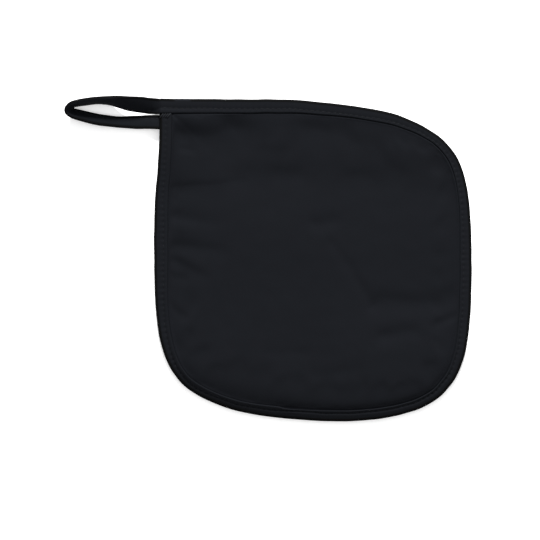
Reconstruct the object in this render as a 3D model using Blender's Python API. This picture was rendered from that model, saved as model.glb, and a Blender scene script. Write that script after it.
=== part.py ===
"""A padded cotton pot holder lying on its back, with one square corner and three round ones.

The pad is bound all round in folded tape. At the square corner the tape runs on, stands
up on edge, turns back and goes in behind the corner, as a loop to hang the pad by.
The tables are in millimetres. The model is in metres, +Z up, and rests on z = 0.
"""

import math
from bisect import bisect_right
from collections import namedtuple

import bmesh
import bpy
from mathutils import Vector
from mathutils.geometry import interpolate_bezier
from mathutils.kdtree import KDTree

MM = 0.001

# Thicknesses, millimetres
TAPE_SIDE = 1.0  # one folded side of the tape over the pad's edge
CLEARANCE = 0.3  # between pieces that meet
PAD_EDGE = 2.0  # the pad where the tape squeezes it
LOOP_TAPE = 1.6  # the tape sewn double along the loop

# The pad's swelling inside the tape, millimetres
SHOULDER_RISE, SHOULDER_RUN = 2.6, 2.6
CROWN_RISE, CROWN_RUN = 0.7, 34.0
UNDERSIDE_RUN = 2.7
EDGE_ROUND, RIM_ROUND = 1.0, 0.4  # how far in the pad's edge is rounded, and by what share
GRID_INSET = 3.0  # from the tape to the pad's even grid
RING_INSIDE, RING_UNDER = 1.3, 1.5  # rings of the pad on either side of the tape's inner edge

# The folded tape's rounding, millimetres in from its outer edge or down from its face
CREST_IN, CREST_DROP = 1.5, 0.25
TURN_IN, TURN_DROP = 0.4, 1.2
STITCH_IN, STITCH_DIP = 2.2, 0.3  # the sewn line, counted from the inner edge
LIP_IN, LIP_DROP = 0.5, 0.15
HEEL_IN, HEEL_RISE = 2.6, 0.15
SWELL_SHARE = 0.45  # where the face is full again between the crest and the sewn line

# The square corner rides on the loop's sewn-in end, millimetres
LIFT = 1.85
LIFT_AT = Vector((-66.0, 88.0))
LIFT_FLAT, LIFT_END = 14.0, 52.0

# Levels that follow, millimetres
PAD_UNDER = TAPE_SIDE + CLEARANCE
PAD_OVER = PAD_UNDER + PAD_EDGE
TAPE_CEILING = PAD_OVER + CLEARANCE
TAPE_TOP = TAPE_CEILING + TAPE_SIDE
TAPE_MIDDLE = TAPE_TOP / 2

# Near-black cotton
PAD_COLOUR, PAD_ROUGHNESS = (0.018, 0.019, 0.023), 0.9
TAPE_COLOUR, TAPE_ROUGHNESS = (0.014, 0.015, 0.019), 0.85
CREASE_ANGLE = 40  # degrees between faces, past which an edge is shaded sharp

# How finely the shapes are cut up
OUTLINE_STEPS = 40
PAD_CELLS = 44
TAPE_STATIONS = 132
LOOP_STEPS = 3
LIP_SAMPLES = 1600
SLOPE_STEP = 0.5

# The tape's outer edge, walked from the square corner down the left side. Headings in degrees
# from +X, reaches are the lengths of the Bezier handles.
Knot = namedtuple("Knot", "x y arrive leave reach_in reach_out")
OUTLINE = (
    Knot(x=-67.8, y=100.6, arrive=180, leave=-90, reach_in=6, reach_out=60),
    Knot(x=-71.4, y=8.0, arrive=-90, leave=-90, reach_in=54, reach_out=68),
    Knot(x=-23.0, y=-95.0, arrive=-17, leave=-17, reach_in=46, reach_out=20),
    Knot(x=46.0, y=-102.7, arrive=0, leave=0, reach_in=13, reach_out=10),
    Knot(x=112.0, y=-84.1, arrive=49, leave=49, reach_in=23, reach_out=17),
    Knot(x=128.7, y=-2.5, arrive=90, leave=90, reach_in=56, reach_out=64),
    Knot(x=84.0, y=89.7, arrive=158, leave=158, reach_in=40, reach_out=17),
    Knot(x=10.0, y=100.2, arrive=180, leave=180, reach_in=6, reach_out=70),
)
ROUND_CORNERS = (-45, 45, 135)  # headings at the middle of the three round corners

# The width of tape that shows on the front. A turn of 1 is one side of the pad, counted from
# the square corner down the left side.
Face = namedtuple("Face", "turn width")
FACES = (
    Face(turn=0.0, width=7.6),
    Face(turn=0.5, width=8.8),
    Face(turn=0.8, width=7.5),
    Face(turn=1.0, width=6.4),
    Face(turn=1.5, width=7.1),
    Face(turn=2.0, width=6.5),
    Face(turn=2.5, width=7.6),
    Face(turn=3.0, width=5.8),
    Face(turn=3.3, width=7.6),
    Face(turn=3.7, width=8.9),
    Face(turn=4.0, width=9.4),
)

# Troughs (and one swelling) of the front cloth, from their start to their end.
Fold = namedtuple("Fold", "x y end_x end_y half_width depth")
FOLDS = (
    Fold(x=-57, y=77, end_x=-19, end_y=80, half_width=6.5, depth=-1.6),
    Fold(x=-60, y=55, end_x=105, end_y=55, half_width=33.0, depth=-1.6),
    Fold(x=-60, y=45, end_x=-40, end_y=44, half_width=3.5, depth=-0.7),
    Fold(x=-61, y=27, end_x=-51, end_y=24, half_width=3.5, depth=-0.8),
    Fold(x=-62, y=10, end_x=-28, end_y=4, half_width=4.0, depth=-1.0),
    Fold(x=-61, y=0, end_x=-38, end_y=-12, half_width=3.5, depth=-0.9),
    Fold(x=-64, y=-10, end_x=-52, end_y=-13, half_width=3.0, depth=-0.6),
    Fold(x=-66, y=-29, end_x=-54, end_y=-36, half_width=3.5, depth=-0.7),
    Fold(x=-15, y=74, end_x=-7, end_y=54, half_width=6.0, depth=-0.4),
    Fold(x=10, y=56, end_x=18, end_y=53, half_width=7.0, depth=-0.5),
    Fold(x=36, y=81, end_x=71, end_y=60, half_width=6.0, depth=-0.7),
    Fold(x=34, y=23, end_x=36, end_y=22, half_width=5.0, depth=-0.6),
    Fold(x=43, y=8, end_x=66, end_y=-30, half_width=4.5, depth=-0.5),
    Fold(x=74, y=-26, end_x=119, end_y=-27, half_width=5.5, depth=-1.1),
    Fold(x=75, y=-45, end_x=93, end_y=-48, half_width=5.0, depth=-0.6),
    Fold(x=109, y=-41, end_x=119, end_y=-38, half_width=3.5, depth=-0.5),
    Fold(x=-20, y=27, end_x=20, end_y=26, half_width=14.0, depth=0.6),
)

# The loop's tape cut across at places along it: its outer edge is the rim, its inner edge the foot.
Cut = namedtuple("Cut", "rim_x rim_y rim_z foot_x foot_y foot_z thick")
LOOP = (
    Cut(-68.1, 100.6, 4.15, -68.1, 91.2, 4.15, 3.6),
    Cut(-70.2, 100.9, 4.9, -70.2, 91.3, 3.0, 2.2),
    Cut(-74.5, 101.2, 6.3, -74.5, 91.5, 2.5, LOOP_TAPE),
    Cut(-80.6, 101.7, 7.4, -80.6, 92.2, 2.7, LOOP_TAPE),
    Cut(-88.2, 102.0, 8.5, -88.2, 93.6, 2.5, LOOP_TAPE),
    Cut(-93.9, 102.1, 9.3, -93.9, 95.7, 1.9, LOOP_TAPE),
    Cut(-99.6, 101.7, 9.8, -99.6, 97.7, 1.0, LOOP_TAPE),
    Cut(-107.2, 101.2, 10.1, -107.2, 98.5, 0.5, LOOP_TAPE),
    Cut(-114.8, 100.2, 10.1, -114.4, 97.6, 0.3, LOOP_TAPE),
    Cut(-121.1, 99.1, 9.6, -120.1, 96.7, 0.3, LOOP_TAPE),
    Cut(-125.2, 97.5, 9.0, -122.1, 96.2, 0.3, LOOP_TAPE),
    Cut(-127.6, 94.4, 8.0, -122.9, 95.4, 0.4, LOOP_TAPE),
    Cut(-127.2, 91.4, 6.9, -122.6, 94.6, 0.5, LOOP_TAPE),
    Cut(-124.2, 89.0, 5.9, -121.2, 94.2, 0.6, LOOP_TAPE),
    Cut(-118.5, 87.0, 4.9, -118.2, 93.6, 0.8, LOOP_TAPE),
    Cut(-111.0, 85.0, 4.0, -111.0, 92.0, 0.9, LOOP_TAPE),
    Cut(-103.4, 83.7, 3.3, -103.4, 90.6, 0.9, LOOP_TAPE),
    Cut(-93.9, 82.8, 2.6, -93.9, 89.6, 0.9, LOOP_TAPE),
    Cut(-84.4, 82.0, 1.9, -84.4, 90.0, 0.9, LOOP_TAPE),
    Cut(-76.8, 82.0, 1.2, -76.8, 90.4, 0.9, LOOP_TAPE),
    Cut(-70.0, 81.7, 0.9, -70.0, 90.3, 0.9, 1.5),
    Cut(-64.8, 81.8, 0.8, -64.8, 90.3, 0.8, 1.4),
    Cut(-57.9, 82.1, 0.8, -57.9, 90.4, 0.8, 1.4),
)
LOOP_CURL = 0.7  # how far the standing tape bellies towards the inside of the loop
LOOP_EDGE_IN, LOOP_EDGE_THICK = 0.6, 0.85  # the tape's rounded edges, as shares of its half thickness


def smooth(fraction):
    """0 to 1 with flat ends."""
    fraction = min(max(fraction, 0.0), 1.0)
    return fraction * fraction * (3 - 2 * fraction)


def towards(degrees):
    """The unit vector on a heading."""
    return Vector((math.cos(math.radians(degrees)), math.sin(math.radians(degrees))))


class Route:
    """A smooth line in plan, walked by its own length, with its inner side on the left."""

    def __init__(self, points):
        self.points = points
        self.lengths = [0.0]
        for point, after in zip(points, points[1:]):
            self.lengths.append(self.lengths[-1] + (after - point).length)

    @property
    def length(self):
        return self.lengths[-1]

    def point(self, along):
        index = min(bisect_right(self.lengths, along), len(self.points) - 1)
        start, end = self.lengths[index - 1], self.lengths[index]
        return self.points[index - 1].lerp(self.points[index], (along - start) / (end - start))

    def heading(self, along):
        before = self.point(max(along - SLOPE_STEP, 0.0))
        after = self.point(min(along + SLOPE_STEP, self.length))
        return (after - before).normalized()

    def inward(self, along):
        heading = self.heading(along)
        return Vector((-heading.y, heading.x))


def outline_route():
    points = []
    for knot, after in zip(OUTLINE, OUTLINE[1:] + OUTLINE[:1]):
        start, end = Vector((knot.x, knot.y)), Vector((after.x, after.y))
        leave = start + knot.reach_out * towards(knot.leave)
        arrive = end - after.reach_in * towards(after.arrive)
        points += interpolate_bezier(start, leave, arrive, end, OUTLINE_STEPS)[:-1]
    points.append(points[0])
    return Route([Vector(point[:2]) for point in points])


def corner_stops(route):
    """Where along the outline each of the four sides starts, and where the last one ends."""
    stops = [0.0]
    for corner in ROUND_CORNERS:
        along = stops[-1] + SLOPE_STEP
        while math.degrees(math.atan2(*reversed(route.heading(along)))) < corner:
            along += SLOPE_STEP
        stops.append(along)
    return stops + [route.length]


ROUTE = outline_route()
STOPS = corner_stops(ROUTE)


def face_width(turn):
    """The tape's width on the front at a turn, smooth between the table's rows."""
    for face, after in zip(FACES, FACES[1:]):
        if turn <= after.turn:
            share = smooth((turn - face.turn) / (after.turn - face.turn))
            return face.width + share * (after.width - face.width)
    return FACES[-1].width


def turn_at(along):
    """The turn at a length along the outline."""
    side = min(bisect_right(STOPS, along) - 1, 3)
    return side + (along - STOPS[side]) / (STOPS[side + 1] - STOPS[side])


def ring_point(turn, inset):
    """A point on the ring that lies inset(turn) inside the outline, mitred at the square corner."""
    side = min(int(turn), 3)
    start, end = STOPS[side], STOPS[side + 1]
    if side == 0:
        start += inset(4.0)
    if side == 3:
        end -= inset(0.0)
    along = start + (turn - side) * (end - start)
    return ROUTE.point(along) + inset(turn) * ROUTE.inward(along)


def beside_tape(distance):
    """The ring at a distance inside the tape's inner edge."""
    return lambda turn: face_width(turn) + distance


def lift(point):
    """How far the square corner is raised at a point in plan."""
    distance = (Vector(point[:2]) - LIFT_AT).length
    return LIFT * smooth((LIFT_END - distance) / (LIFT_END - LIFT_FLAT))


def fold_height(fold, point):
    """A fold's share of the height at a point in plan, fading round its ends."""
    start, end = Vector((fold.x, fold.y)), Vector((fold.end_x, fold.end_y))
    run = end - start
    share = min(max((point - start).dot(run) / run.length_squared, 0.0), 1.0)
    distance = (point - start - share * run).length
    return fold.depth * math.exp(-((distance / fold.half_width) ** 2))


def pad_over(point, depth):
    """The front's height at a point in plan that lies depth inside the tape's inner edge."""
    if depth <= CLEARANCE:
        return PAD_OVER
    depth -= CLEARANCE
    shoulder = 1 - math.exp(-depth / SHOULDER_RUN)
    crown = 1 - (1 - min(depth / CROWN_RUN, 1.0)) ** 2
    folds = sum(fold_height(fold, point) for fold in FOLDS)
    return PAD_OVER + shoulder * (SHOULDER_RISE + folds) + crown * CROWN_RISE


def pad_under(depth):
    """The back's height, flat on the surface but for its rim."""
    return PAD_UNDER * (1 - smooth((depth - CLEARANCE) / UNDERSIDE_RUN))


def plan_point(west_east, south_north, inset):
    """A point of the pad's plan, blended between the four sides of a ring."""
    a, b = west_east, south_north
    west, south = ring_point(1 - b, inset), ring_point(1 + a, inset)
    east, north = ring_point(2 + b, inset), ring_point(4 - a, inset)
    sides = (1 - a) * west + a * east + (1 - b) * south + b * north
    south_edge = (1 - a) * ring_point(1, inset) + a * ring_point(2, inset)
    north_edge = (1 - a) * ring_point(4, inset) + a * ring_point(3, inset)
    return sides - (1 - b) * south_edge - b * north_edge


def rim_turn(west_east, south_north):
    """The turn of a point on the rim of the pad's plan."""
    if west_east < 1e-6:
        return 1 - south_north
    if south_north < 1e-6:
        return 1 + west_east
    if west_east > 1 - 1e-6:
        return 2 + south_north
    return 4 - west_east


def pad_plan(bm):
    """The pad's plan as one sheet: a grid inside the tape and rings from there to the pad's edge.

    Each point keeps how far it lies inside the tape's inner edge, and whether it is on the rim.
    """
    turn_of, depth_of, rim_of = (bm.verts.layers.float.new(name) for name in ("turn", "depth", "rim"))
    inner = beside_tape(GRID_INSET)
    depth_at = inside_tape()
    bmesh.ops.create_grid(bm, x_segments=PAD_CELLS, y_segments=PAD_CELLS, size=1)
    for vert in bm.verts:
        a, b = (vert.co.x + 1) / 2, (vert.co.y + 1) / 2
        if vert.is_boundary:
            vert[turn_of] = rim_turn(a, b)
        vert.co = plan_point(a, b, inner).to_3d()
        vert[depth_of] = depth_at(vert.co)
    rings = (
        beside_tape(RING_INSIDE),
        beside_tape(CLEARANCE),
        beside_tape(-RING_UNDER),
        lambda turn: PAD_UNDER + EDGE_ROUND,
        lambda turn: PAD_UNDER,
    )
    for inset in rings:
        rim = [edge for edge in bm.edges if edge.is_boundary]
        made = bmesh.ops.extrude_edge_only(bm, edges=rim)["geom"]
        for vert in (item for item in made if isinstance(item, bmesh.types.BMVert)):
            vert.co = ring_point(vert[turn_of], inset).to_3d()
            vert[depth_of] = inset(vert[turn_of]) - face_width(vert[turn_of])
    for vert in bm.verts:
        vert[rim_of] = float(vert.is_boundary)
    return depth_of, rim_of


def inside_tape():
    """A function giving how far a point within the tape's inner edge is from it."""
    lip = KDTree(LIP_SAMPLES)
    for index in range(LIP_SAMPLES):
        lip.insert(ring_point(4 * index / LIP_SAMPLES, face_width).to_3d(), index)
    lip.balance()
    return lambda point: lip.find(point)[2]


def finish(name, bm, material, collection):
    """Closes a bmesh in millimetres into a named object in metres."""
    bmesh.ops.recalc_face_normals(bm, faces=bm.faces)
    bmesh.ops.scale(bm, vec=(MM, MM, MM), verts=bm.verts)
    mesh = bpy.data.meshes.new(name)
    bm.to_mesh(mesh)
    bm.free()
    mesh.materials.append(material)
    mesh.shade_smooth()
    mesh.set_sharp_from_angle(angle=math.radians(CREASE_ANGLE))
    collection.objects.link(bpy.data.objects.new(name, mesh))


def build_pad(material, collection):
    """The quilted pad: one filled piece, swollen in front and flat behind."""
    bm = bmesh.new()
    depth_of, rim_of = pad_plan(bm)
    made = bmesh.ops.extrude_face_region(bm, geom=bm.faces[:])["geom"]
    back = {item for item in made if isinstance(item, bmesh.types.BMVert)}
    for vert in bm.verts:
        point, depth = vert.co.xy, vert[depth_of]
        height = pad_under(depth) if vert in back else pad_over(point, depth)
        height += RIM_ROUND * vert[rim_of] * (PAD_UNDER + PAD_EDGE / 2 - height)
        vert.co.z = height + lift(point)
    finish("pad", bm, material, collection)


def tape_cut(face):
    """The folded tape cut across, as (inset, height) from its upper inner edge round the outside."""
    return (
        (face, TAPE_TOP - LIP_DROP),
        (face - LIP_IN, TAPE_TOP),
        (face - STITCH_IN, TAPE_TOP - STITCH_DIP),
        (face * SWELL_SHARE, TAPE_TOP),
        (CREST_IN, TAPE_TOP - CREST_DROP),
        (TURN_IN, TAPE_TOP - TURN_DROP),
        (0.0, TAPE_MIDDLE),
        (TURN_IN, TURN_DROP),
        (CREST_IN, HEEL_RISE),
        (HEEL_IN, 0.0),
        (face, 0.0),
        (face, TAPE_SIDE),
        (TAPE_SIDE, TAPE_SIDE),
        (TAPE_SIDE, TAPE_CEILING),
        (face, TAPE_CEILING),
    )


def tape_sections():
    start = face_width(4.0) + CLEARANCE
    sections = []
    for station in range(TAPE_STATIONS + 1):
        along = start + station / TAPE_STATIONS * (ROUTE.length - start)
        outer, inward = ROUTE.point(along), ROUTE.inward(along)
        section = []
        for inset, height in tape_cut(face_width(turn_at(along))):
            point = outer + inset * inward
            section.append(Vector((point.x, point.y, height + lift(point))))
        sections.append(section)
    return sections


def loft(name, sections, material, collection):
    """A closed tube through sections of equal counts of points."""
    bm = bmesh.new()
    place = bm.verts.layers.int.new("place")
    ring = [bm.verts.new(point) for point in sections[0]]
    for index, vert in enumerate(ring):
        vert[place] = index
    edges = bm.faces.new(ring).edges[:]
    for section in sections[1:]:
        made = bmesh.ops.extrude_edge_only(bm, edges=edges)["geom"]
        for vert in (item for item in made if isinstance(item, bmesh.types.BMVert)):
            vert.co = section[vert[place]]
        edges = [item for item in made if isinstance(item, bmesh.types.BMEdge) and item.is_boundary]
    bmesh.ops.edgeloop_fill(bm, edges=edges)
    finish(name, bm, material, collection)


def spline(before, start, end, after, share):
    """Catmull-Rom between start and end, column by column."""
    columns = []
    for a, b, c, d in zip(before, start, end, after):
        bend = 2 * a - 5 * b + 4 * c - d
        twist = 3 * b - a - 3 * c + d
        columns.append(b + (c - a) / 2 * share + bend / 2 * share**2 + twist / 2 * share**3)
    return columns


def loop_cuts():
    """The loop's table with steps between its rows."""
    rows = LOOP[:1] + LOOP + LOOP[-1:]
    cuts = []
    for four in zip(rows, rows[1:], rows[2:], rows[3:]):
        cuts += [Cut(*spline(*four, step / LOOP_STEPS)) for step in range(LOOP_STEPS)]
    return cuts + [LOOP[-1]]


def loop_sections():
    cuts = loop_cuts()
    rims = [Vector((cut.rim_x, cut.rim_y, cut.rim_z)) for cut in cuts]
    feet = [Vector((cut.foot_x, cut.foot_y, cut.foot_z)) for cut in cuts]
    middles = [(rim + foot) / 2 for rim, foot in zip(rims, feet)]
    sections = []
    for index, (cut, rim, foot) in enumerate(zip(cuts, rims, feet)):
        run = middles[min(index + 1, len(cuts) - 1)] - middles[max(index - 1, 0)]
        across = foot - rim
        inner = run.cross(across).normalized()
        half = cut.thick / 2
        belly = LOOP_CURL * (1 - abs(inner.z))
        end = LOOP_EDGE_IN * half / across.length
        thin = LOOP_EDGE_THICK * half
        upper = ((end, thin), (1 / 3, half), (2 / 3, half), (1 - end, thin))
        lower = [(share, -offset) for share, offset in reversed(upper)]
        section = []
        for share, offset in ((0, 0), *upper, (1, 0), *lower):
            curl = 4 * belly * share * (1 - share)
            section.append(rim + share * across + (offset + curl) * inner)
        sections.append(section)
    return sections


def cotton(name, colour, roughness):
    """A plain dyed cotton."""
    material = bpy.data.materials.new(name)
    material.use_nodes = True
    shader = material.node_tree.nodes["Principled BSDF"]
    shader.inputs["Base Color"].default_value = (*colour, 1.0)
    shader.inputs["Roughness"].default_value = roughness
    shader.inputs["Metallic"].default_value = 0.0
    material.diffuse_color = (*colour, 1.0)
    return material


def main():
    for obj in list(bpy.data.objects):
        bpy.data.objects.remove(obj)
    collection = bpy.data.collections.new("pot_holder")
    bpy.context.scene.collection.children.link(collection)
    build_pad(cotton("pad_cotton", PAD_COLOUR, PAD_ROUGHNESS), collection)
    loft("edge_binding", tape_sections(), cotton("binding_cotton", TAPE_COLOUR, TAPE_ROUGHNESS), collection)
    loft("hanging_loop", loop_sections(), cotton("loop_cotton", TAPE_COLOUR, TAPE_ROUGHNESS), collection)


if __name__ == "__main__":
    main()
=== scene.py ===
"""The looks of a padded pot holder of near-black cotton twill, lying on its back.

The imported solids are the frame. Three soft pieces stand for them: the quilted pad, the folded
tape that binds it, and the hanging loop that the same tape makes past the square corner. Sewing
thread lies along the tapes. The tables are in millimetres, and the meshes in metres.
"""

import logging
import math
from collections.abc import Iterable
from dataclasses import dataclass, field
from enum import Enum
from typing import Any, NamedTuple

import bmesh
import bpy
import numpy as np
from mathutils import Matrix, Vector, noise
from mathutils.geometry import interpolate_bezier
from mathutils.kdtree import KDTree


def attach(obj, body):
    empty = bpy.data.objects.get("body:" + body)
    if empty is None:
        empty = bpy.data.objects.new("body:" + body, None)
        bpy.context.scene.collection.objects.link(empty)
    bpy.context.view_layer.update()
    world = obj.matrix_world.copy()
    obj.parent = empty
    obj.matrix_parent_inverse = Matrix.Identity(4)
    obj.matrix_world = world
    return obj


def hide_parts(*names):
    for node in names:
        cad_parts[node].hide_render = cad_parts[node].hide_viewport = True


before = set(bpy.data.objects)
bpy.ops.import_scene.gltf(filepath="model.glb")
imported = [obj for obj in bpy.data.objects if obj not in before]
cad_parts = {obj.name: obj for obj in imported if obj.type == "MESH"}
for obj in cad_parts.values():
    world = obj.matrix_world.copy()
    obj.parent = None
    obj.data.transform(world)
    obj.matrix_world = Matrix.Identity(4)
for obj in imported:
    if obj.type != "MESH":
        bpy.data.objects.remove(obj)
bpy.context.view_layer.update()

MM = 0.001
UP = np.array((0.0, 0.0, 1.0))
TINY = 1e-6
SIDES = 4  # A turn runs from 0 at the square corner to this
NOISE_GAIN = 2.0  # Brings the noise's usual swing up to about 1
SEED_SKEW = 0.37  # Keeps the drifts of two seeds apart
CLOUD_MEAN = 0.5
WEAVE_MAP = "weave"
# The mesh layer of painted shade along the tape's turned-down edges and rolled fronts
EDGE_SHADE_LAYER = "turned"

log = logging.getLogger("pot_holder")


def smooth(share: np.ndarray) -> np.ndarray:
    """Ease from 0 to 1 with flat ends."""
    share = np.clip(share, 0.0, 1.0)
    return share * share * (3 - 2 * share)


def bell(distance: np.ndarray, half_width: np.ndarray | float) -> np.ndarray:
    """A rounded bump of height 1 at no distance."""
    return np.exp(-((distance / half_width) ** 2))


def unit(vectors: np.ndarray) -> np.ndarray:
    """Rows of vectors at length 1."""
    return vectors / np.linalg.norm(vectors, axis=-1, keepdims=True)


def bow(belly: np.ndarray, share: np.ndarray) -> np.ndarray:
    """The height of a curve that rises to its belly halfway, at shares of its width."""
    return belly * 4 * share * (1 - share)


class Drift(NamedTuple):
    """A smooth uneven value to either side of nothing.

    size is about its greatest value, wavelength is the length of one swing in millimetres, and
    seed tells one drift from another.
    """

    size: float
    wavelength: float
    seed: float

    def along(self, places: np.ndarray) -> np.ndarray:
        """The value at places along a line."""
        skew = SEED_SKEW * self.seed
        return self.at(Vector((place / self.wavelength, self.seed, skew)) for place in places)

    def over(self, points: np.ndarray) -> np.ndarray:
        """The value at points in plan."""
        return self.at(Vector((x, y, self.seed)) for x, y in points[:, :2] / self.wavelength)

    def at(self, spots: Iterable[Vector]) -> np.ndarray:
        """The value at spots in the noise."""
        return self.size * (NOISE_GAIN * np.array([noise.noise(spot) for spot in spots]))


def beside(path: np.ndarray, points: np.ndarray) -> tuple[np.ndarray, np.ndarray, np.ndarray]:
    """Where points lie beside a line of straight runs.

    Args:
        path: The line's points in plan.
        points: The points in plan.

    Returns:
        For each point the share of the line up to its nearest place, how far it is on the
        line's left, less than 0 on its right, and the distance.
    """
    runs = np.diff(path, axis=0)
    lengths = np.linalg.norm(runs, axis=1)
    before = np.concatenate([[0.0], np.cumsum(lengths)])
    best = [np.zeros(len(points)), np.zeros(len(points)), np.full(len(points), np.inf)]
    for start, run, length, sum_before in zip(path, runs, lengths, before):
        share = np.clip((points - start) @ run / length**2, 0.0, 1.0)
        away = points - start - share[:, None] * run
        side = (run[0] * away[:, 1] - run[1] * away[:, 0]) / length
        found = [(sum_before + share * length) / before[-1], side, np.linalg.norm(away, axis=1)]
        nearer = found[2] < best[2]
        best = [np.where(nearer, new, old) for new, old in zip(found, best)]
    return tuple(best)


# The plan of the pad


class Knot(NamedTuple):
    """A point of the tape's outer edge, with its headings in degrees and its handles' lengths."""

    x: float
    y: float
    arrive: float
    leave: float
    reach_in: float
    reach_out: float


class Face(NamedTuple):
    """The tape's front at a turn, where a turn of 1 is one side of the pad.

    width is how much of the tape shows, seam is from the outer edge to the sewn line, rise is
    how high the pad next to it swells, and shoulder is how far in that takes. slope is how much
    the front falls to the outer edge, as a share of half the tape's thickness, and dip is how
    deep the sewn line is sunk.
    """

    turn: float
    width: float
    seam: float
    rise: float
    shoulder: float
    slope: float
    dip: float


@dataclass
class Plan:
    """The pad's plan, walked from the square corner down the left side.

    Attributes:
        knots: The tape's outer edge.
        faces: The width of tape that shows on the front.
        round_corners: Headings at the middle of the three round corners, degrees.
        knot_steps: Points between two knots.
        slope_step: How far apart two points are that give a heading.
        points: The outer edge as points.
        lengths: How far along the edge each point is.
        stops: Where each side starts, and where the last one ends.
    """

    knots: tuple[Knot, ...] = (
        Knot(x=-67.8, y=100.6, arrive=180, leave=-90, reach_in=6, reach_out=60),
        Knot(x=-71.4, y=8.0, arrive=-90, leave=-90, reach_in=54, reach_out=68),
        Knot(x=-23.0, y=-95.0, arrive=-17, leave=-17, reach_in=46, reach_out=20),
        Knot(x=46.0, y=-102.7, arrive=0, leave=0, reach_in=13, reach_out=10),
        Knot(x=112.0, y=-84.1, arrive=49, leave=49, reach_in=23, reach_out=17),
        Knot(x=128.7, y=-2.5, arrive=90, leave=90, reach_in=56, reach_out=64),
        Knot(x=84.0, y=89.7, arrive=158, leave=158, reach_in=40, reach_out=17),
        Knot(x=10.0, y=100.2, arrive=180, leave=180, reach_in=6, reach_out=70),
    )
    faces: tuple[Face, ...] = (
        Face(turn=0.0, width=7.6, seam=4.2, rise=2.0, shoulder=1.5, slope=0.30, dip=0.24),
        Face(turn=0.2, width=8.0, seam=4.3, rise=2.4, shoulder=1.5, slope=0.30, dip=0.26),
        Face(turn=0.5, width=8.8, seam=6.2, rise=2.4, shoulder=1.8, slope=0.30, dip=0.28),
        Face(turn=0.8, width=7.5, seam=4.7, rise=2.4, shoulder=3.0, slope=0.60, dip=0.36),
        Face(turn=1.0, width=6.4, seam=3.6, rise=2.6, shoulder=5.0, slope=1.15, dip=0.45),
        Face(turn=1.2, width=6.6, seam=4.5, rise=2.6, shoulder=5.5, slope=1.10, dip=0.48),
        Face(turn=1.5, width=7.1, seam=5.3, rise=2.4, shoulder=2.6, slope=0.95, dip=0.50),
        Face(turn=2.0, width=6.5, seam=4.7, rise=2.4, shoulder=2.2, slope=0.85, dip=0.42),
        Face(turn=2.5, width=7.6, seam=5.6, rise=2.4, shoulder=1.8, slope=0.30, dip=0.26),
        Face(turn=3.0, width=5.8, seam=4.3, rise=2.0, shoulder=1.5, slope=0.12, dip=0.20),
        Face(turn=3.3, width=7.6, seam=6.0, rise=1.3, shoulder=1.8, slope=0.06, dip=0.16),
        Face(turn=3.7, width=8.9, seam=6.2, rise=1.2, shoulder=1.8, slope=0.04, dip=0.16),
        Face(turn=4.0, width=9.4, seam=6.0, rise=1.2, shoulder=1.8, slope=0.04, dip=0.18),
    )
    round_corners: tuple[int, ...] = (-45, 45, 135)
    knot_steps: int = 160
    slope_step: float = 0.5
    points: np.ndarray = field(init=False)
    lengths: np.ndarray = field(init=False)
    stops: np.ndarray = field(init=False)

    def __post_init__(self) -> None:
        """Walks the knots into points, and finds the four sides."""
        points: list[Vector] = []
        for knot, after in zip(self.knots, self.knots[1:] + self.knots[:1]):
            start, end = Vector((knot.x, knot.y)), Vector((after.x, after.y))
            leave = start + knot.reach_out * self.towards(knot.leave)
            arrive = end - after.reach_in * self.towards(after.arrive)
            points += interpolate_bezier(start, leave, arrive, end, self.knot_steps)[:-1]
        points.append(points[0])
        self.points = np.array([point[:2] for point in points])
        steps = np.linalg.norm(np.diff(self.points, axis=0), axis=1)
        self.lengths = np.concatenate([[0.0], np.cumsum(steps)])
        along = np.arange(self.slope_step, self.length, self.slope_step)
        heading = self.heading(along)
        degrees = np.degrees(np.unwrap(np.arctan2(heading[:, 1], heading[:, 0])))
        turned = [along[np.argmax(degrees >= corner)] for corner in self.round_corners]
        self.stops = np.array([0.0, *turned, self.length])

    @staticmethod
    def towards(degrees: float) -> Vector:
        """The unit vector on a heading."""
        return Vector((math.cos(math.radians(degrees)), math.sin(math.radians(degrees))))

    @property
    def length(self) -> float:
        """The length of the outer edge."""
        return float(self.lengths[-1])

    def at(self, along: np.ndarray) -> np.ndarray:
        """Points of the outer edge at places along it."""
        columns = [np.interp(along, self.lengths, self.points[:, axis]) for axis in (0, 1)]
        return np.stack(columns, axis=-1)

    def heading(self, along: np.ndarray) -> np.ndarray:
        """Unit vectors along the outer edge at places along it."""
        before = self.at(np.maximum(along - self.slope_step, 0.0))
        after = self.at(np.minimum(along + self.slope_step, self.length))
        return unit(after - before)

    def inward(self, along: np.ndarray) -> np.ndarray:
        """Unit vectors from the outer edge to the inside."""
        heading = self.heading(along)
        return np.stack([-heading[:, 1], heading[:, 0]], axis=-1)

    def turn(self, along: np.ndarray) -> np.ndarray:
        """The turn at places along the outer edge."""
        return np.interp(along, self.stops, range(len(self.stops)))

    def face(self, turn: np.ndarray) -> Face:
        """The tape's front at turns, eased between the table's rows.

        Args:
            turn: The turns, from 0 to 4.

        Returns:
            The front, with an array for each of its values.
        """
        table = np.array(self.faces)
        row = np.clip(np.searchsorted(table[:, 0], turn, side="right") - 1, 0, len(table) - 2)
        start, end = table[row], table[row + 1]
        share = smooth((turn - start[:, 0]) / (end[:, 0] - start[:, 0]))
        return Face(*(start + share[:, None] * (end - start)).T)

    def ring(self, turn: np.ndarray, beyond_lip: float | None, inset: float = 0.0) -> np.ndarray:
        """Points on a ring inside the outer edge, mitred at the square corner.

        Args:
            turn: The turns of the points, from 0 to 4.
            beyond_lip: How far inside the tape's inner edge the ring lies, or None.
            inset: How far inside the outer edge it lies where beyond_lip is None.

        Returns:
            The points in plan.
        """

        def inset_at(turns: np.ndarray) -> np.ndarray:
            """How far inside the outer edge the ring lies at a turn."""
            if beyond_lip is None:
                return np.full(np.shape(turns), inset)
            return self.face(turns).width + beyond_lip

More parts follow.
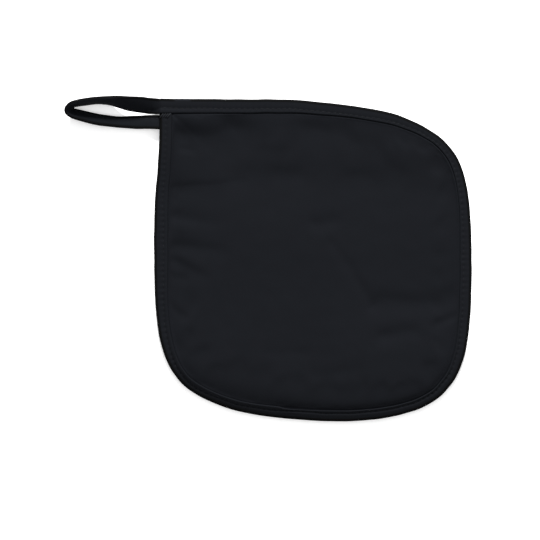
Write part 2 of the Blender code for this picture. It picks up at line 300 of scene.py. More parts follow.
        side = np.minimum(turn.astype(int), SIDES - 1)
        start, end = self.stops[side], self.stops[side + 1]
        last, first = inset_at(np.array([0.0, float(SIDES)]))
        start = start + np.where(side == 0, first, 0.0)
        end = end - np.where(side == SIDES - 1, last, 0.0)
        along = start + (turn - side) * (end - start)
        return self.at(along) + inset_at(turn)[:, None] * self.inward(along)

    def nearest(self, x: float, y: float) -> float:
        """The place along the outer edge that is nearest to a point."""
        distance = np.linalg.norm(self.points - (x, y), axis=1)
        return float(self.lengths[int(distance.argmin())])


@dataclass(frozen=True)
class Lay:
    """How the square corner rides on the loop's sewn-in end.

    Attributes:
        rise: How high it rides.
        x: The plan point where it is highest.
        y: The plan point where it is highest.
        flat: How far round that point it is as high.
        end: How far away it lies flat again.
    """

    rise: float = 1.85
    x: float = -66.0
    y: float = 88.0
    flat: float = 14.0
    end: float = 52.0

    def lift(self, points: np.ndarray) -> np.ndarray:
        """How far the cloth is raised at points in plan."""
        distance = np.linalg.norm(points[..., :2] - (self.x, self.y), axis=-1)
        return self.rise * smooth((self.end - distance) / (self.end - self.flat))


# Shader writing


class Value:
    """A shader socket that takes part in Python arithmetic."""

    def __init__(self, finish: "Finish", socket: bpy.types.NodeSocket) -> None:
        """Keeps the socket and the finish that adds its nodes."""
        self.finish = finish
        self.socket = socket

    def math(self, operation: str, *others: "Value | float") -> "Value":
        """A Math node on this value and the others."""
        inputs = dict(enumerate((self, *others)))
        return self.finish.node("ShaderNodeMath", {"operation": operation}, inputs)

    def __add__(self, other: "Value | float") -> "Value":
        """This value plus another."""
        return self.math("ADD", other)

    __radd__ = __add__

    def __sub__(self, other: "Value | float") -> "Value":
        """This value minus another."""
        return self.math("SUBTRACT", other)

    def __rsub__(self, other: float) -> "Value":
        """A number minus this value."""
        return self.math("MULTIPLY", -1.0) + other

    def __mul__(self, other: "Value | float") -> "Value":
        """This value times another."""
        return self.math("MULTIPLY", other)

    __rmul__ = __mul__

    def wave(self, cycles: float) -> "Value":
        """A sine of this value, from 0 to 1, that swings so often in one unit."""
        return (self * (2 * math.pi * cycles)).math("SINE") * 0.5 + 0.5


@dataclass(frozen=True)
class Finish:
    """A material whose nodes are written as expressions.

    Attributes:
        name: The material's name.
        colour: Its colour, linear red, green and blue.
        roughness: Its mean roughness.
    """

    name: str
    colour: tuple[float, float, float]
    roughness: float

    @property
    def material(self) -> bpy.types.Material:
        """The material, made where it isn't there yet."""
        made = bpy.data.materials.get(self.name)
        if made is None:
            made = bpy.data.materials.new(self.name)
            made.use_nodes = True
            made.diffuse_color = (*self.colour, 1.0)
            self.dress()
        return made

    @property
    def tree(self) -> bpy.types.NodeTree:
        """The material's node tree."""
        return bpy.data.materials[self.name].node_tree

    def node(
        self,
        kind: str,
        settings: dict[str, Any] | None = None,
        sockets: dict[Any, Any] | None = None,
        output: int | str = 0,
    ) -> Value:
        """Adds a node.

        Args:
            kind: The node's type.
            settings: Its settings, which are set first.
            sockets: Values or links of its sockets.
            output: The output that is wanted.

        Returns:
            The output as a value.
        """
        made = self.tree.nodes.new(kind)
        for key, setting in (settings or {}).items():
            setattr(made, key, setting)
        for key, given in (sockets or {}).items():
            self.connect(made.inputs[key], given)
        return Value(self, made.outputs[output])

    def connect(self, socket: bpy.types.NodeSocket, given: Any) -> None:
        """Links a value to a socket, or sets a number on it."""
        if isinstance(given, Value):
            self.tree.links.new(given.socket, socket)
        else:
            socket.default_value = given

    def shade(self, constants: dict[str, Any], varying: dict[str, Value]) -> None:
        """Sets what is the same all over on the shader, and links what varies."""
        shader = self.tree.nodes["Principled BSDF"]
        for key, given in {**constants, **varying}.items():
            self.connect(shader.inputs[key], given)

    def tinted(self, strength: Value) -> Value:
        """The finish's colour, darker or lighter with a value."""
        grey = self.node("ShaderNodeCombineXYZ", {}, {"X": strength, "Y": strength, "Z": strength})
        return self.node(
            "ShaderNodeVectorMath", {"operation": "MULTIPLY"}, {0: grey, 1: self.colour}
        )

    def cloudy(self, place: Value, scale: float, detail: float = 2.0) -> Value:
        """A soft noise from 0 to 1 over a place in metres."""
        sockets = {"Vector": place, "Scale": scale, "Detail": detail, "Roughness": 0.5}
        return self.node("ShaderNodeTexNoise", {"noise_dimensions": "3D"}, sockets, "Fac")

    def axes(self, place: Value, letters: str) -> dict[str, Value]:
        """The parts of a place along the axes that letters name."""
        return {axis: self.node("ShaderNodeSeparateXYZ", {}, {0: place}, axis) for axis in letters}

    def bump(self, height: Value, relief: float, strength: float = 1.0) -> Value:
        """A normal that follows a height from 0 to 1, where 1 is the relief in metres."""
        sockets = {"Strength": strength, "Distance": relief, "Height": height}
        return self.node("ShaderNodeBump", {}, sockets)

    def dress(self) -> None:
        """Writes the material's nodes."""
        raise NotImplementedError


class Lean(Enum):
    """Whether the twill's ridges fall or rise to the right, as a sign in their phase."""

    FALLING = 1.0
    RISING = -1.0


@dataclass(frozen=True)
class TwillFinish(Finish):
    """Dyed cotton twill: fine slanting ridges, crossing yarns, soft fading and a little fuzz, with
    painted shade where a tape turns down.

    Attributes:
        ridge: From one slanting ridge to the next, metres.
        yarn: From one crossing yarn to the next, metres.
        lean: Which way the ridges lean.
        relief: How deep the weave is, metres.
        fading: How much the dye varies over the cloth.
        painted_edge_shade: How much painted shade darkens the cloth along its turned-down edges and
            rolled fronts.
        yarn_share: How much of the weave's height the crossing yarns cut away.
        weave_mean: The weave's mean height, from 0 to 1.
        weave_shade: How much lighter the weave's tops are than its bottoms.
        weave_gloss: How much smoother they are.
        broad_scale: How fine the broad fading is.
        fine_scale: How fine the fading within it is.
        fine_share: How strong that is next to the broad fading.
        lint_scale: How fine the lint is.
        lint_shade: How much the lint varies the cloth.
        slub_scale: How fine the yarn's thick places are.
        slub_sway: How far they push a ridge aside, as a share of the ridge.
        slub_relief: How high they are next to the weave.
        sheen: The shader's specular level.
    """

    ridge: float = 0.00058
    yarn: float = 0.00034
    lean: Lean = Lean.FALLING
    relief: float = 0.00003
    fading: float = 0.10
    painted_edge_shade: float = 0.0
    yarn_share: float = 0.35
    weave_mean: float = 0.4
    weave_shade: float = 0.14
    weave_gloss: float = 0.08
    broad_scale: float = 28.0
    fine_scale: float = 120.0
    fine_share: float = 0.5
    lint_scale: float = 2600.0
    lint_shade: float = 0.10
    slub_scale: float = 900.0
    slub_sway: float = 0.35
    slub_relief: float = 0.25
    sheen: float = 0.06

    def dress(self) -> None:
        """Writes the material's nodes."""
        weave = self.node("ShaderNodeUVMap", {"uv_map": WEAVE_MAP})
        parts = self.axes(weave, "XY")
        leaning = parts["Y"] * self.lean.value
        slub = self.cloudy(weave, self.slub_scale, detail=1.0)
        slant = parts["X"] + leaning + slub * (self.slub_sway * self.ridge)
        ridges = slant.wave(1 / (self.ridge * math.sqrt(2)))
        yarns = (parts["X"] - leaning).wave(1 / (self.yarn * math.sqrt(2)))
        cloth = ridges * (1 - self.yarn_share) + ridges * yarns * self.yarn_share
        fine = self.cloudy(weave, self.fine_scale)
        fade = self.cloudy(weave, self.broad_scale, detail=3.0) + fine * self.fine_share
        lint = self.cloudy(weave, self.lint_scale, detail=0.0)
        fade_mean = CLOUD_MEAN * (1 + self.fine_share)
        strength = 1.0 + (fade - fade_mean) * self.fading
        strength = strength + (cloth - self.weave_mean) * self.weave_shade
        strength = strength + (lint - CLOUD_MEAN) * self.lint_shade
        # Painted shade: the layer darkens the cloth along turned-down edges and rolled fronts
        if self.painted_edge_shade:
            turned = self.node("ShaderNodeAttribute", {"attribute_name": EDGE_SHADE_LAYER}, {}, "Fac")
            strength = strength * (1.0 - turned * self.painted_edge_shade)
        self.shade(
            {"Metallic": 0.0, "Specular IOR Level": self.sheen},
            {
                "Base Color": self.tinted(strength),
                "Roughness": (cloth - self.weave_mean) * -self.weave_gloss + self.roughness,
                "Normal": self.bump(cloth + slub * self.slub_relief, self.relief),
            },
        )


@dataclass(frozen=True)
class ThreadFinish(Finish):
    """Twisted sewing thread, a little smoother than the cloth.

    Attributes:
        twist: From one ply to the next along an axis, metres.
        relief: How deep the twist is, metres.
        relief_strength: How strongly it shows.
        darkest: How dark the thread is between its plies.
        ply_shade: How much lighter the plies are.
        cloud_shade: How much lighter the thread's pale places are.
        cloud_scale: How fine they are.
        ply_roughness: How much rougher the plies are.
        sheen: The shader's specular level.
    """

    twist: float = 0.0007
    relief: float = 0.00002
    relief_strength: float = 0.8
    darkest: float = 0.85
    ply_shade: float = 0.2
    cloud_shade: float = 0.15
    cloud_scale: float = 400.0
    ply_roughness: float = 0.05
    sheen: float = 0.1

    def dress(self) -> None:
        """Writes the material's nodes."""
        place = self.node("ShaderNodeTexCoord", {}, {}, "Object")
        parts = self.axes(place, "XYZ")
        plies = (parts["X"] + parts["Y"] + parts["Z"]).wave(1 / self.twist)
        clouds = self.cloudy(place, self.cloud_scale)
        strength = self.darkest + plies * self.ply_shade + clouds * self.cloud_shade
        self.shade(
            {"Metallic": 0.0, "Specular IOR Level": self.sheen},
            {
                "Base Color": self.tinted(strength),
                "Roughness": self.roughness + plies * self.ply_roughness,
                "Normal": self.bump(plies, self.relief, self.relief_strength),
            },
        )


@dataclass(frozen=True)
class FloorFinish(Finish):
    """A plain matt pale floor that glows a little: painted light that keeps it white where the cloth's
    shadow falls on it.

    Attributes:
        glow: How strongly it glows, as painted light over the cloth's shadow.
        mottling: How much its colour varies.
        mottle_scale: How fine that is.
    """

    glow: float = 0.3
    mottling: float = 0.01
    mottle_scale: float = 3.0

    def dress(self) -> None:
        """Writes the material's nodes."""
        place = self.node("ShaderNodeTexCoord", {}, {}, "Object")
        strength = (1 - self.mottling) + self.cloudy(place, self.mottle_scale) * self.mottling
        self.shade(
            {
                "Roughness": self.roughness,
                "Specular IOR Level": 0.0,
                "Emission Color": (1.0, 1.0, 1.0, 1.0),
                "Emission Strength": self.glow,
            },
            {"Base Color": self.tinted(strength)},
        )


PAD_TWILL = TwillFinish(name="pad_twill", colour=(0.00317, 0.00366, 0.0050), roughness=0.9)
# The tape's cloth is darkened by painted shade along its turned-down edges and rolled fronts
# (painted_edge_shade)
TAPE_TWILL = TwillFinish(
    name="tape_twill",
    colour=(0.0031, 0.0036, 0.0049),
    roughness=0.86,
    ridge=0.00050,
    yarn=0.00030,
    lean=Lean.RISING,
    relief=0.000025,
    painted_edge_shade=0.93,
)
# The tack's thread is as black as the other thread; its lighter colour is painted sheen on the slanting
# stitches
TACK_THREAD_PAINTED_SHEEN = ThreadFinish(name="tack_thread_painted_sheen", colour=(0.0085, 0.0094, 0.0115), roughness=0.6)
THREAD = ThreadFinish(name="sewing_thread", colour=(0.0026, 0.0030, 0.0040), roughness=0.6)
FLOOR = FloorFinish(name="pale_floor", colour=(0.95, 0.95, 0.95), roughness=1.0)


# Meshes


def linked(name: str, data: bpy.types.ID) -> bpy.types.Object:
    """Puts a new object in the scene.

    Args:
        name: The object's name.
        data: What it holds.

    Returns:
        The object, at the origin.
    """
    made = bpy.data.objects.new(name, data)
    bpy.context.scene.collection.objects.link(made)
    return made


def ordered(bm: bmesh.types.BMesh, layer: str) -> bmesh.types.BMesh:
    """Rebuilds a mesh with its points and faces in the order of their places.

    Extrusions leave them in an order that changes from run to run, and what a simulation
    makes of a mesh depends on that order.

    Args:
        bm: The mesh, which is freed.
        layer: The one value that its points keep.

    Returns:
        The same shape in order.
    """
    value_of = bm.verts.layers.float[layer]
    verts = sorted(bm.verts, key=lambda vert: (*vert.co, vert[value_of]))
    rank = {vert: index for index, vert in enumerate(verts)}
    faces = []
    for face in bm.faces:
        corners = [rank[vert] for vert in face.verts]
        first = corners.index(min(corners))
        faces.append(corners[first:] + corners[:first])
    made = bmesh.new()
    kept_value = made.verts.layers.float.new(layer)
    for vert in verts:
        made.verts.new(vert.co)[kept_value] = vert[value_of]
    made.verts.ensure_lookup_table()
    for corners in sorted(faces):
        made.faces.new([made.verts[corner] for corner in corners])
    bm.free()
    return made


def finished(name: str, bm: bmesh.types.BMesh, finish: Finish) -> bpy.types.Object:
    """Closes a bmesh in millimetres into a smooth object in metres.

    Args:
        name: The object's name.
        bm: The mesh, which is freed.
        finish: What it is dressed in.

    Returns:
        The object, at the origin.
    """
    bmesh.ops.recalc_face_normals(bm, faces=bm.faces)
    bmesh.ops.scale(bm, vec=(MM, MM, MM), verts=bm.verts)
    mesh = bpy.data.meshes.new(name)
    bm.to_mesh(mesh)
    bm.free()
    mesh.materials.append(finish.material)
    mesh.shade_smooth()
    return linked(name, mesh)


def places_of(mesh: bpy.types.Mesh) -> np.ndarray:
    """A mesh's points.

    Args:
        mesh: The mesh, in metres.

    Returns:
        Its points in millimetres.
    """
    flat = np.empty(len(mesh.vertices) * 3, np.float32)
    mesh.vertices.foreach_get("co", flat)
    return flat.reshape(-1, 3).astype(float) / MM


def put(mesh: bpy.types.Mesh, points: np.ndarray) -> None:
    """Moves a mesh's points to places in millimetres."""
    mesh.vertices.foreach_set("co", (points * MM).astype(np.float32).ravel())
    mesh.update()


def evaluated(piece: bpy.types.Object) -> bpy.types.Object:
    """The object as its modifiers make it."""
    return piece.evaluated_get(bpy.context.evaluated_depsgraph_get())


# The quilted pad


class Fold(NamedTuple):
    """A trough or a swelling of the front cloth.

    path is its line in plan, north and south are its half widths on the line's left and right
    sides, and start and fade are the shares of its depth at its start and its end.
    """

    path: tuple[tuple[float, float], ...]
    north: float
    south: float
    depth: float
    start: float = 1.0
    fade: float = 1.0


@dataclass
class QuiltedPad:
    """Two cloths with wadding between them, sewn flat under the tape.

    Attributes:
        plan: The plan that it fills.
        lay: How its corner is raised.
        cells: The even grid's squares each way.
        under: How high the back lies under the tape.
        over: How high the front lies at the tape's inner edge.
        rim_slope: How steeply the front rises under the tape.
        usual_rise: How high the front swells beside the tape, where it swells as usual.
        crown_rise: How much higher than that its middle is.
        crown_run: How far in from the tape it is as high as its middle.
        underside_run: How far in from the tape the back comes down to the ground.
        grid_inset: How far inside the tape's inner edge the even grid ends.
        ring_insets: How far inside it the rings round the grid lie.
        edge_inset: How far inside the tape's outer edge the pad ends.
        lip_points: Points of the inner edge that a depth is measured from.
        probe_inset: How far inside it the ring lies that tells in from out.
        sewn_run: How far in from the tape the sewing holds the cloth.
        swell_steps: How many frames it swells for.
        swell_cap: How far a point moves at most when it swells.
        sway: What bends the folds' lines, across and up the plan.
        waviness: The soft waves of the front.
        still_run: How far in from the tape no fold shows.
        ease_run: How far in from there the folds take to come up.
        folds: The troughs and swellings of the front cloth.
    """

    plan: Plan
    lay: Lay
    cells: int = 92
    under: float = 1.3
    over: float = 3.85
    rim_slope: float = 0.15
    usual_rise: float = 2.4
    crown_rise: float = 0.4
    crown_run: float = 34.0
    underside_run: float = 2.7
    grid_inset: float = 3.0
    ring_insets: tuple[float, ...] = (2.2, 1.5, 0.9, 0.4, 0.0, -0.8)
    edge_inset: float = 2.8
    lip_points: int = 2400
    probe_inset: float = 2.0
    sewn_run: float = 0.6
    swell_steps: int = 20
    swell_cap: float = 0.4
    sway: tuple[Drift, Drift] = (Drift(1.6, 22.0, 3.1), Drift(1.6, 22.0, 8.7))
    waviness: tuple[Drift, ...] = (Drift(0.15, 30.0, 1.3), Drift(0.05, 9.0, 5.9))
    still_run: float = 0.3
    ease_run: float = 2.2
    folds: tuple[Fold, ...] = (
        # The hollow beside the corner
        Fold(
            ((-57.5, 78.8), (-48.5, 77.0), (-39.5, 77.0), (-31.0, 78.2), (-23.0, 81.0)),
            north=9.0,
            south=16.0,
            depth=-3.9,
            start=0.9,
            fade=0.6,
        ),
        Fold(((-53.4, 67.8), (-47.8, 67.8)), north=2.5, south=2.5, depth=-0.26),
        Fold(((-12.0, 83.4), (0.0, 84.0)), north=5.0, south=12.0, depth=-0.2),
        Fold(((-22.0, 66.5), (-9.0, 69.0)), north=10.0, south=9.0, depth=-0.55),
        # Troughs of the upper third
        Fold(
            ((30.0, 79.5), (46.0, 76.2), (62.0, 68.0), (75.0, 57.0)),
            north=7.0,
            south=26.0,
            depth=-1.2,
            fade=0.7,
        ),
        Fold(((-18.7, 53.3), (-3.5, 54.6)), north=9.0, south=9.0, depth=-0.57),
        Fold(((-1.6, 67.2), (11.0, 68.5)), north=4.0, south=6.0, depth=-0.32),
        Fold(((7.9, 53.3), (20.5, 53.9)), north=5.0, south=6.0, depth=-0.44),
        Fold(((50.8, 50.8), (62.2, 53.3)), north=5.0, south=8.0, depth=-0.32),
        Fold(((-60.0, 50.0), (105.0, 50.0)), north=34.0, south=40.0, depth=-2.9),
        Fold(((-17.0, 47.5), (100.0, 46.5)), north=10.0, south=12.0, depth=-0.4),
        # Puckers along the left tape
        Fold(((-61.7, 45.1), (-47.8, 45.1), (-17.4, 47.6)), north=3.2, south=10.0, depth=-0.70, fade=0.3),
        Fold(((-61.7, 26.1), (-51.5, 24.9), (-33.2, 23.0)), north=5.0, south=4.0, depth=-0.76, fade=0.3),
        Fold(((-61.7, 7.8), (-47.8, 6.5), (-30.0, 3.2)), north=4.5, south=6.0, depth=-1.0, fade=0.3),
        Fold(((-61.0, -2.3), (-51.5, -7.4), (-40.8, -13.1)), north=3.8, south=4.5, depth=-0.83, fade=0.4),
        Fold(((-62.9, -11.8), (-52.8, -14.3)), north=2.6, south=2.6, depth=-0.44, fade=0.5),
        Fold(((-64.8, -29.5), (-53.4, -37.7)), north=3.4, south=4.0, depth=-0.70, fade=0.4),
        Fold(((-64.2, -51.6), (-51.5, -60.5)), north=4.0, south=5.0, depth=-0.38, fade=0.4),
        Fold(((-60.0, -12.0), (-22.0, -14.0)), north=34.0, south=60.0, depth=-2.2, fade=0.7),
        # The dent and the long crease
        Fold(((31.9, 23.0), (40.7, 23.6)), north=4.5, south=4.5, depth=-0.51),
        Fold(
            ((41.4, 11.6), (48.9, -2.3), (57.2, -13.7), (66.0, -29.5)),
            north=3.0,
            south=3.6,
            depth=-0.44,
            start=0.5,
        ),
        # Folds of the right side
        Fold(
            ((71.1, -28.2), (93.2, -28.2), (109.0, -26.3), (120.4, -25.1)),
            north=6.5,
            south=8.0,
            depth=-0.95,
            fade=0.7,
        ),
        Fold(((74.2, -48.4), (91.3, -47.2)), north=5.0, south=6.0, depth=-0.76, fade=0.7),
        Fold(((107.7, -39.6), (119.1, -36.4)), north=3.0, south=3.0, depth=-0.51),
        Fold(((66.0, -18.0), (115.3, -18.0)), north=52.0, south=38.0, depth=-1.75),
        # Marks low down
        Fold(((1.5, -59.2), (21.8, -58.6)), north=4.0, south=4.0, depth=-0.22),
        Fold(((31.9, -73.1), (55.9, -71.8)), north=5.0, south=5.0, depth=-0.32),
        # Swellings
        Fold(((-26.9, 23.0), (20.5, 23.0)), north=16.0, south=20.0, depth=0.32),
        Fold(((-45.9, -73.7), (9.8, -83.8)), north=14.0, south=10.0, depth=0.51, fade=0.8),
    )

    def rest_height(self, depth: np.ndarray, turn: np.ndarray) -> np.ndarray:
        """The front's height where no fold runs.

        Args:
            depth: How far points lie inside the tape's inner edge.
            turn: The turns that are nearest to them.

        Returns:
            The heights.
        """
        face = self.plan.face(turn)
        hidden = self.rim_slope * np.minimum(depth, 0.0)
        depth = np.maximum(depth, 0.0)
        shoulder = face.rise * (1 - np.exp(-depth / face.shoulder))
        crown = 1 - (1 - np.minimum(depth / self.crown_run, 1.0)) ** 2
        crown_rise = self.crown_rise + self.usual_rise - face.rise
        return self.over + hidden + shoulder + crown * crown_rise

    def fold_height(self, points: np.ndarray) -> np.ndarray:
        """The folds' part of the height.

        Args:
            points: Points, of which the plan counts.

        Returns:
            The height that the folds add at each.
        """
        points = points[:, :2] + np.stack([drift.over(points) for drift in self.sway], axis=1)
        height = np.zeros(len(points))
        for fold in self.folds:
            share, side, distance = beside(np.array(fold.path), points)
            northern = smooth(0.5 + 0.5 * side / np.maximum(distance, TINY))
            half_width = fold.south + northern * (fold.north - fold.south)
            depth = fold.depth * (fold.start + (fold.fade - fold.start) * share)
            height += depth * bell(distance, half_width)
        return height

    def grid_points(self, across: np.ndarray, upwards: np.ndarray) -> np.ndarray:
        """Points blended between the four sides of the ring that the even grid fills.

        Args:
            across: How far across the grid each is, from 0 to 1.
            upwards: How far up it.

        Returns:
            The points in plan.
        """
        shares = np.linspace(0, 1, self.cells + 1)
        sides = {
            "west": self.plan.ring(1 - shares, self.grid_inset),
            "south": self.plan.ring(1 + shares, self.grid_inset),
            "east": self.plan.ring(2 + shares, self.grid_inset),
            "north": self.plan.ring(SIDES - shares, self.grid_inset),
        }
        column = np.rint(across * self.cells).astype(int)
        row = np.rint(upwards * self.cells).astype(int)
        a, b = across[:, None], upwards[:, None]
        between = (1 - a) * sides["west"][row] + a * sides["east"][row]
        between += (1 - b) * sides["south"][column] + b * sides["north"][column]
        south = (1 - a) * sides["south"][0] + a * sides["south"][-1]
        north = (1 - a) * sides["north"][0] + a * sides["north"][-1]
        return between - (1 - b) * south - b * north

    def front_sheet(self) -> bmesh.types.BMesh:
        """The front cloth in plan: an even grid with rings round it, out to the pad's edge.

        Returns:
            The flat mesh in millimetres, whose points carry their turns.
        """
        bm = bmesh.new()
        turn_of = bm.verts.layers.float.new("turn")
        bmesh.ops.create_grid(bm, x_segments=self.cells, y_segments=self.cells, size=1.0)
        flat = np.array([vert.co for vert in bm.verts])
        across, upwards = (flat[:, 0] + 1) / 2, (flat[:, 1] + 1) / 2
        turns = np.select(
            [across < TINY, upwards < TINY, across > 1 - TINY],
            [1 - upwards, 1 + across, 2 + upwards],
            SIDES - across,
        )
        for vert, turn, point in zip(bm.verts, turns, self.grid_points(across, upwards)):
            vert[turn_of] = turn
            vert.co = (*point, 0.0)
        for ring in (*self.ring_insets, None):
            rim = [edge for edge in bm.edges if edge.is_boundary]
            made = bmesh.ops.extrude_edge_only(bm, edges=rim)["geom"]
            verts = [item for item in made if isinstance(item, bmesh.types.BMVert)]
            turn = np.array([vert[turn_of] for vert in verts])
            for vert, point in zip(verts, self.plan.ring(turn, ring, self.edge_inset)):
                vert.co = (*point, 0.0)
        return bm

    def depth_at(self, points: np.ndarray) -> tuple[np.ndarray, np.ndarray]:
        """How far points lie inside the tape's inner edge, and the turn that is nearest.

        Args:
            points: Points in plan, millimetres.

        Returns:
            The depths, less than 0 under the tape, and the turns.
        """
        turns = np.linspace(0, SIDES, self.lip_points, endpoint=False)
        lip = self.plan.ring(turns, 0.0)
        within = self.plan.ring(turns, self.probe_inset) - lip
        tree = KDTree(self.lip_points)
        for index, point in enumerate(lip):
            tree.insert((*point, 0.0), index)
        tree.balance()
        found = [tree.find((x, y, 0.0)) for x, y in points[:, :2]]
        nearest = np.array([index for _, index, _ in found])
        distance = np.array([distance for _, _, distance in found])
        inside = (within[nearest] * (points[:, :2] - lip[nearest])).sum(axis=1)
        return np.where(inside >= 0, distance, -distance), turns[nearest]

    def shell(self) -> bpy.types.Object:
        """The closed pad before it swells.

        Returns:
            The pad, whose points carry whether they are on its front.
        """
        bm = self.front_sheet()
        front_of = bm.verts.layers.float.new("front")
        back = bmesh.ops.extrude_face_region(bm, geom=bm.faces[:])["geom"]
        back = {item for item in back if isinstance(item, bmesh.types.BMVert)}
        points = np.array([vert.co for vert in bm.verts])
        depth, turn = self.depth_at(points)
        lift = self.lay.lift(points)
        over = self.rest_height(depth, turn)
        under = self.under * (1 - smooth(depth / self.underside_run))
        for vert, high, low, raised in zip(bm.verts, over, under, lift):
            vert[front_of] = float(vert not in back)
            vert.co.z = raised + (low if vert in back else high)
        return finished("quilted_pad", ordered(bm, "front"), PAD_TWILL)

    def swell(self, piece: bpy.types.Object) -> None:
        """Lets the wadding press the front cloth up between its sewn edges.

        Args:
            piece: The pad, whose points move by swell_cap at most.
        """
        start = places_of(piece.data)
        front = np.array([item.value for item in piece.data.attributes["front"].data])
        held = np.nonzero((front < 0.5) | (self.depth_at(start)[0] < self.sewn_run))[0]
        group = piece.vertex_groups.new(name="held")
        group.add(held.tolist(), 1.0, "REPLACE")
        cloth = piece.modifiers.new("swell", "CLOTH")
        settings = cloth.settings
        settings.vertex_group_mass = group.name
        settings.quality = 6
        settings.mass = 0.1
        settings.tension_stiffness = settings.compression_stiffness = 12
        settings.bending_stiffness = 3
        settings.use_pressure = True
        settings.uniform_pressure_force = 4
        settings.shrink_min = settings.shrink_max = -0.001
        settings.effector_weights.gravity = 0
        cloth.collision_settings.use_collision = False
        scene = bpy.context.scene
        cloth.point_cache.frame_start, cloth.point_cache.frame_end = 1, self.swell_steps
        for step in range(1, self.swell_steps + 1):
            scene.frame_set(step)
        swollen = places_of(evaluated(piece).data)
        piece.modifiers.remove(cloth)
        piece.vertex_groups.remove(group)
        scene.frame_set(1)
        move = swollen - start
        far = np.linalg.norm(move, axis=1, keepdims=True)
        log.info("swelling: mean %.2f mm, most %.2f mm", far.mean(), far.max())
        capped = self.swell_cap * np.tanh(far / self.swell_cap)
        put(piece.data, start + move * capped / np.maximum(far, TINY))

    def refine(self, piece: bpy.types.Object) -> None:
        """Subdivides the pad once, then lays its folds and its weave map.

        Args:
            piece: The pad, whose mesh is replaced.
        """
        finer = piece.modifiers.new("finer", "SUBSURF")
        finer.levels = finer.render_levels = 1
        mesh = bpy.data.meshes.new_from_object(evaluated(piece))
        piece.modifiers.remove(finer)
        old, piece.data = piece.data, mesh
        bpy.data.meshes.remove(old)
        mesh.name = piece.name
        points = places_of(mesh)
        front = np.array([item.value for item in mesh.attributes["front"].data])
        depth, _ = self.depth_at(points)
        free = 1 - np.exp(-np.maximum(depth - self.still_run, 0.0) / self.ease_run)
        uneven = sum(drift.over(points) for drift in self.waviness)
        points[:, 2] += front * free * (self.fold_height(points) + uneven)
        points[:, 2] = np.maximum(points[:, 2], 0.0)
        put(mesh, points)
        weave = mesh.uv_layers.new(name=WEAVE_MAP)
        corners = np.empty(len(mesh.loops), np.int32)
        mesh.loops.foreach_get("vertex_index", corners)
        weave.data.foreach_set("uv", (points[corners, :2] * MM).astype(np.float32).ravel())
        mesh.shade_smooth()

    def build(self) -> bpy.types.Object:
        """Returns:
            The finished pad.
        """
        piece = self.shell()
        self.swell(piece)
        self.refine(piece)
        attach(piece, "root")
        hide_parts("pad")
        return piece


# The folded tape


@dataclass
class TapeRun:
    """Places along a length of folded tape.

    Attributes:
        along: How far along the tape each place is.
        edge: The folded outer edge at each place.
        across: Unit vectors from that edge to the open inner edge.
        up: Unit vectors out of the tape's front.
        width: The tape's width.
        half: Half its thickness.
        slope: How much the front falls to the outer edge, as a share of that.
        sewn_in: From the inner edge to the sewn line.
        belly: How far the tape bows out of its front.
        dip: How deep the sewn line is sunk.
        flat_back: From 0 to 1, how far the back lies flat on something.
        sink: How far the front lies lower than it would.
        crossed: From 0 to 1, how far another tape runs in under its outer edge, where its painted edge
            shade is left off.
    """

    along: np.ndarray
    edge: np.ndarray
    across: np.ndarray
    up: np.ndarray
    width: np.ndarray
    half: np.ndarray
    slope: np.ndarray
    sewn_in: np.ndarray
    belly: np.ndarray
    dip: np.ndarray
    flat_back: np.ndarray
    sink: np.ndarray
    crossed: np.ndarray


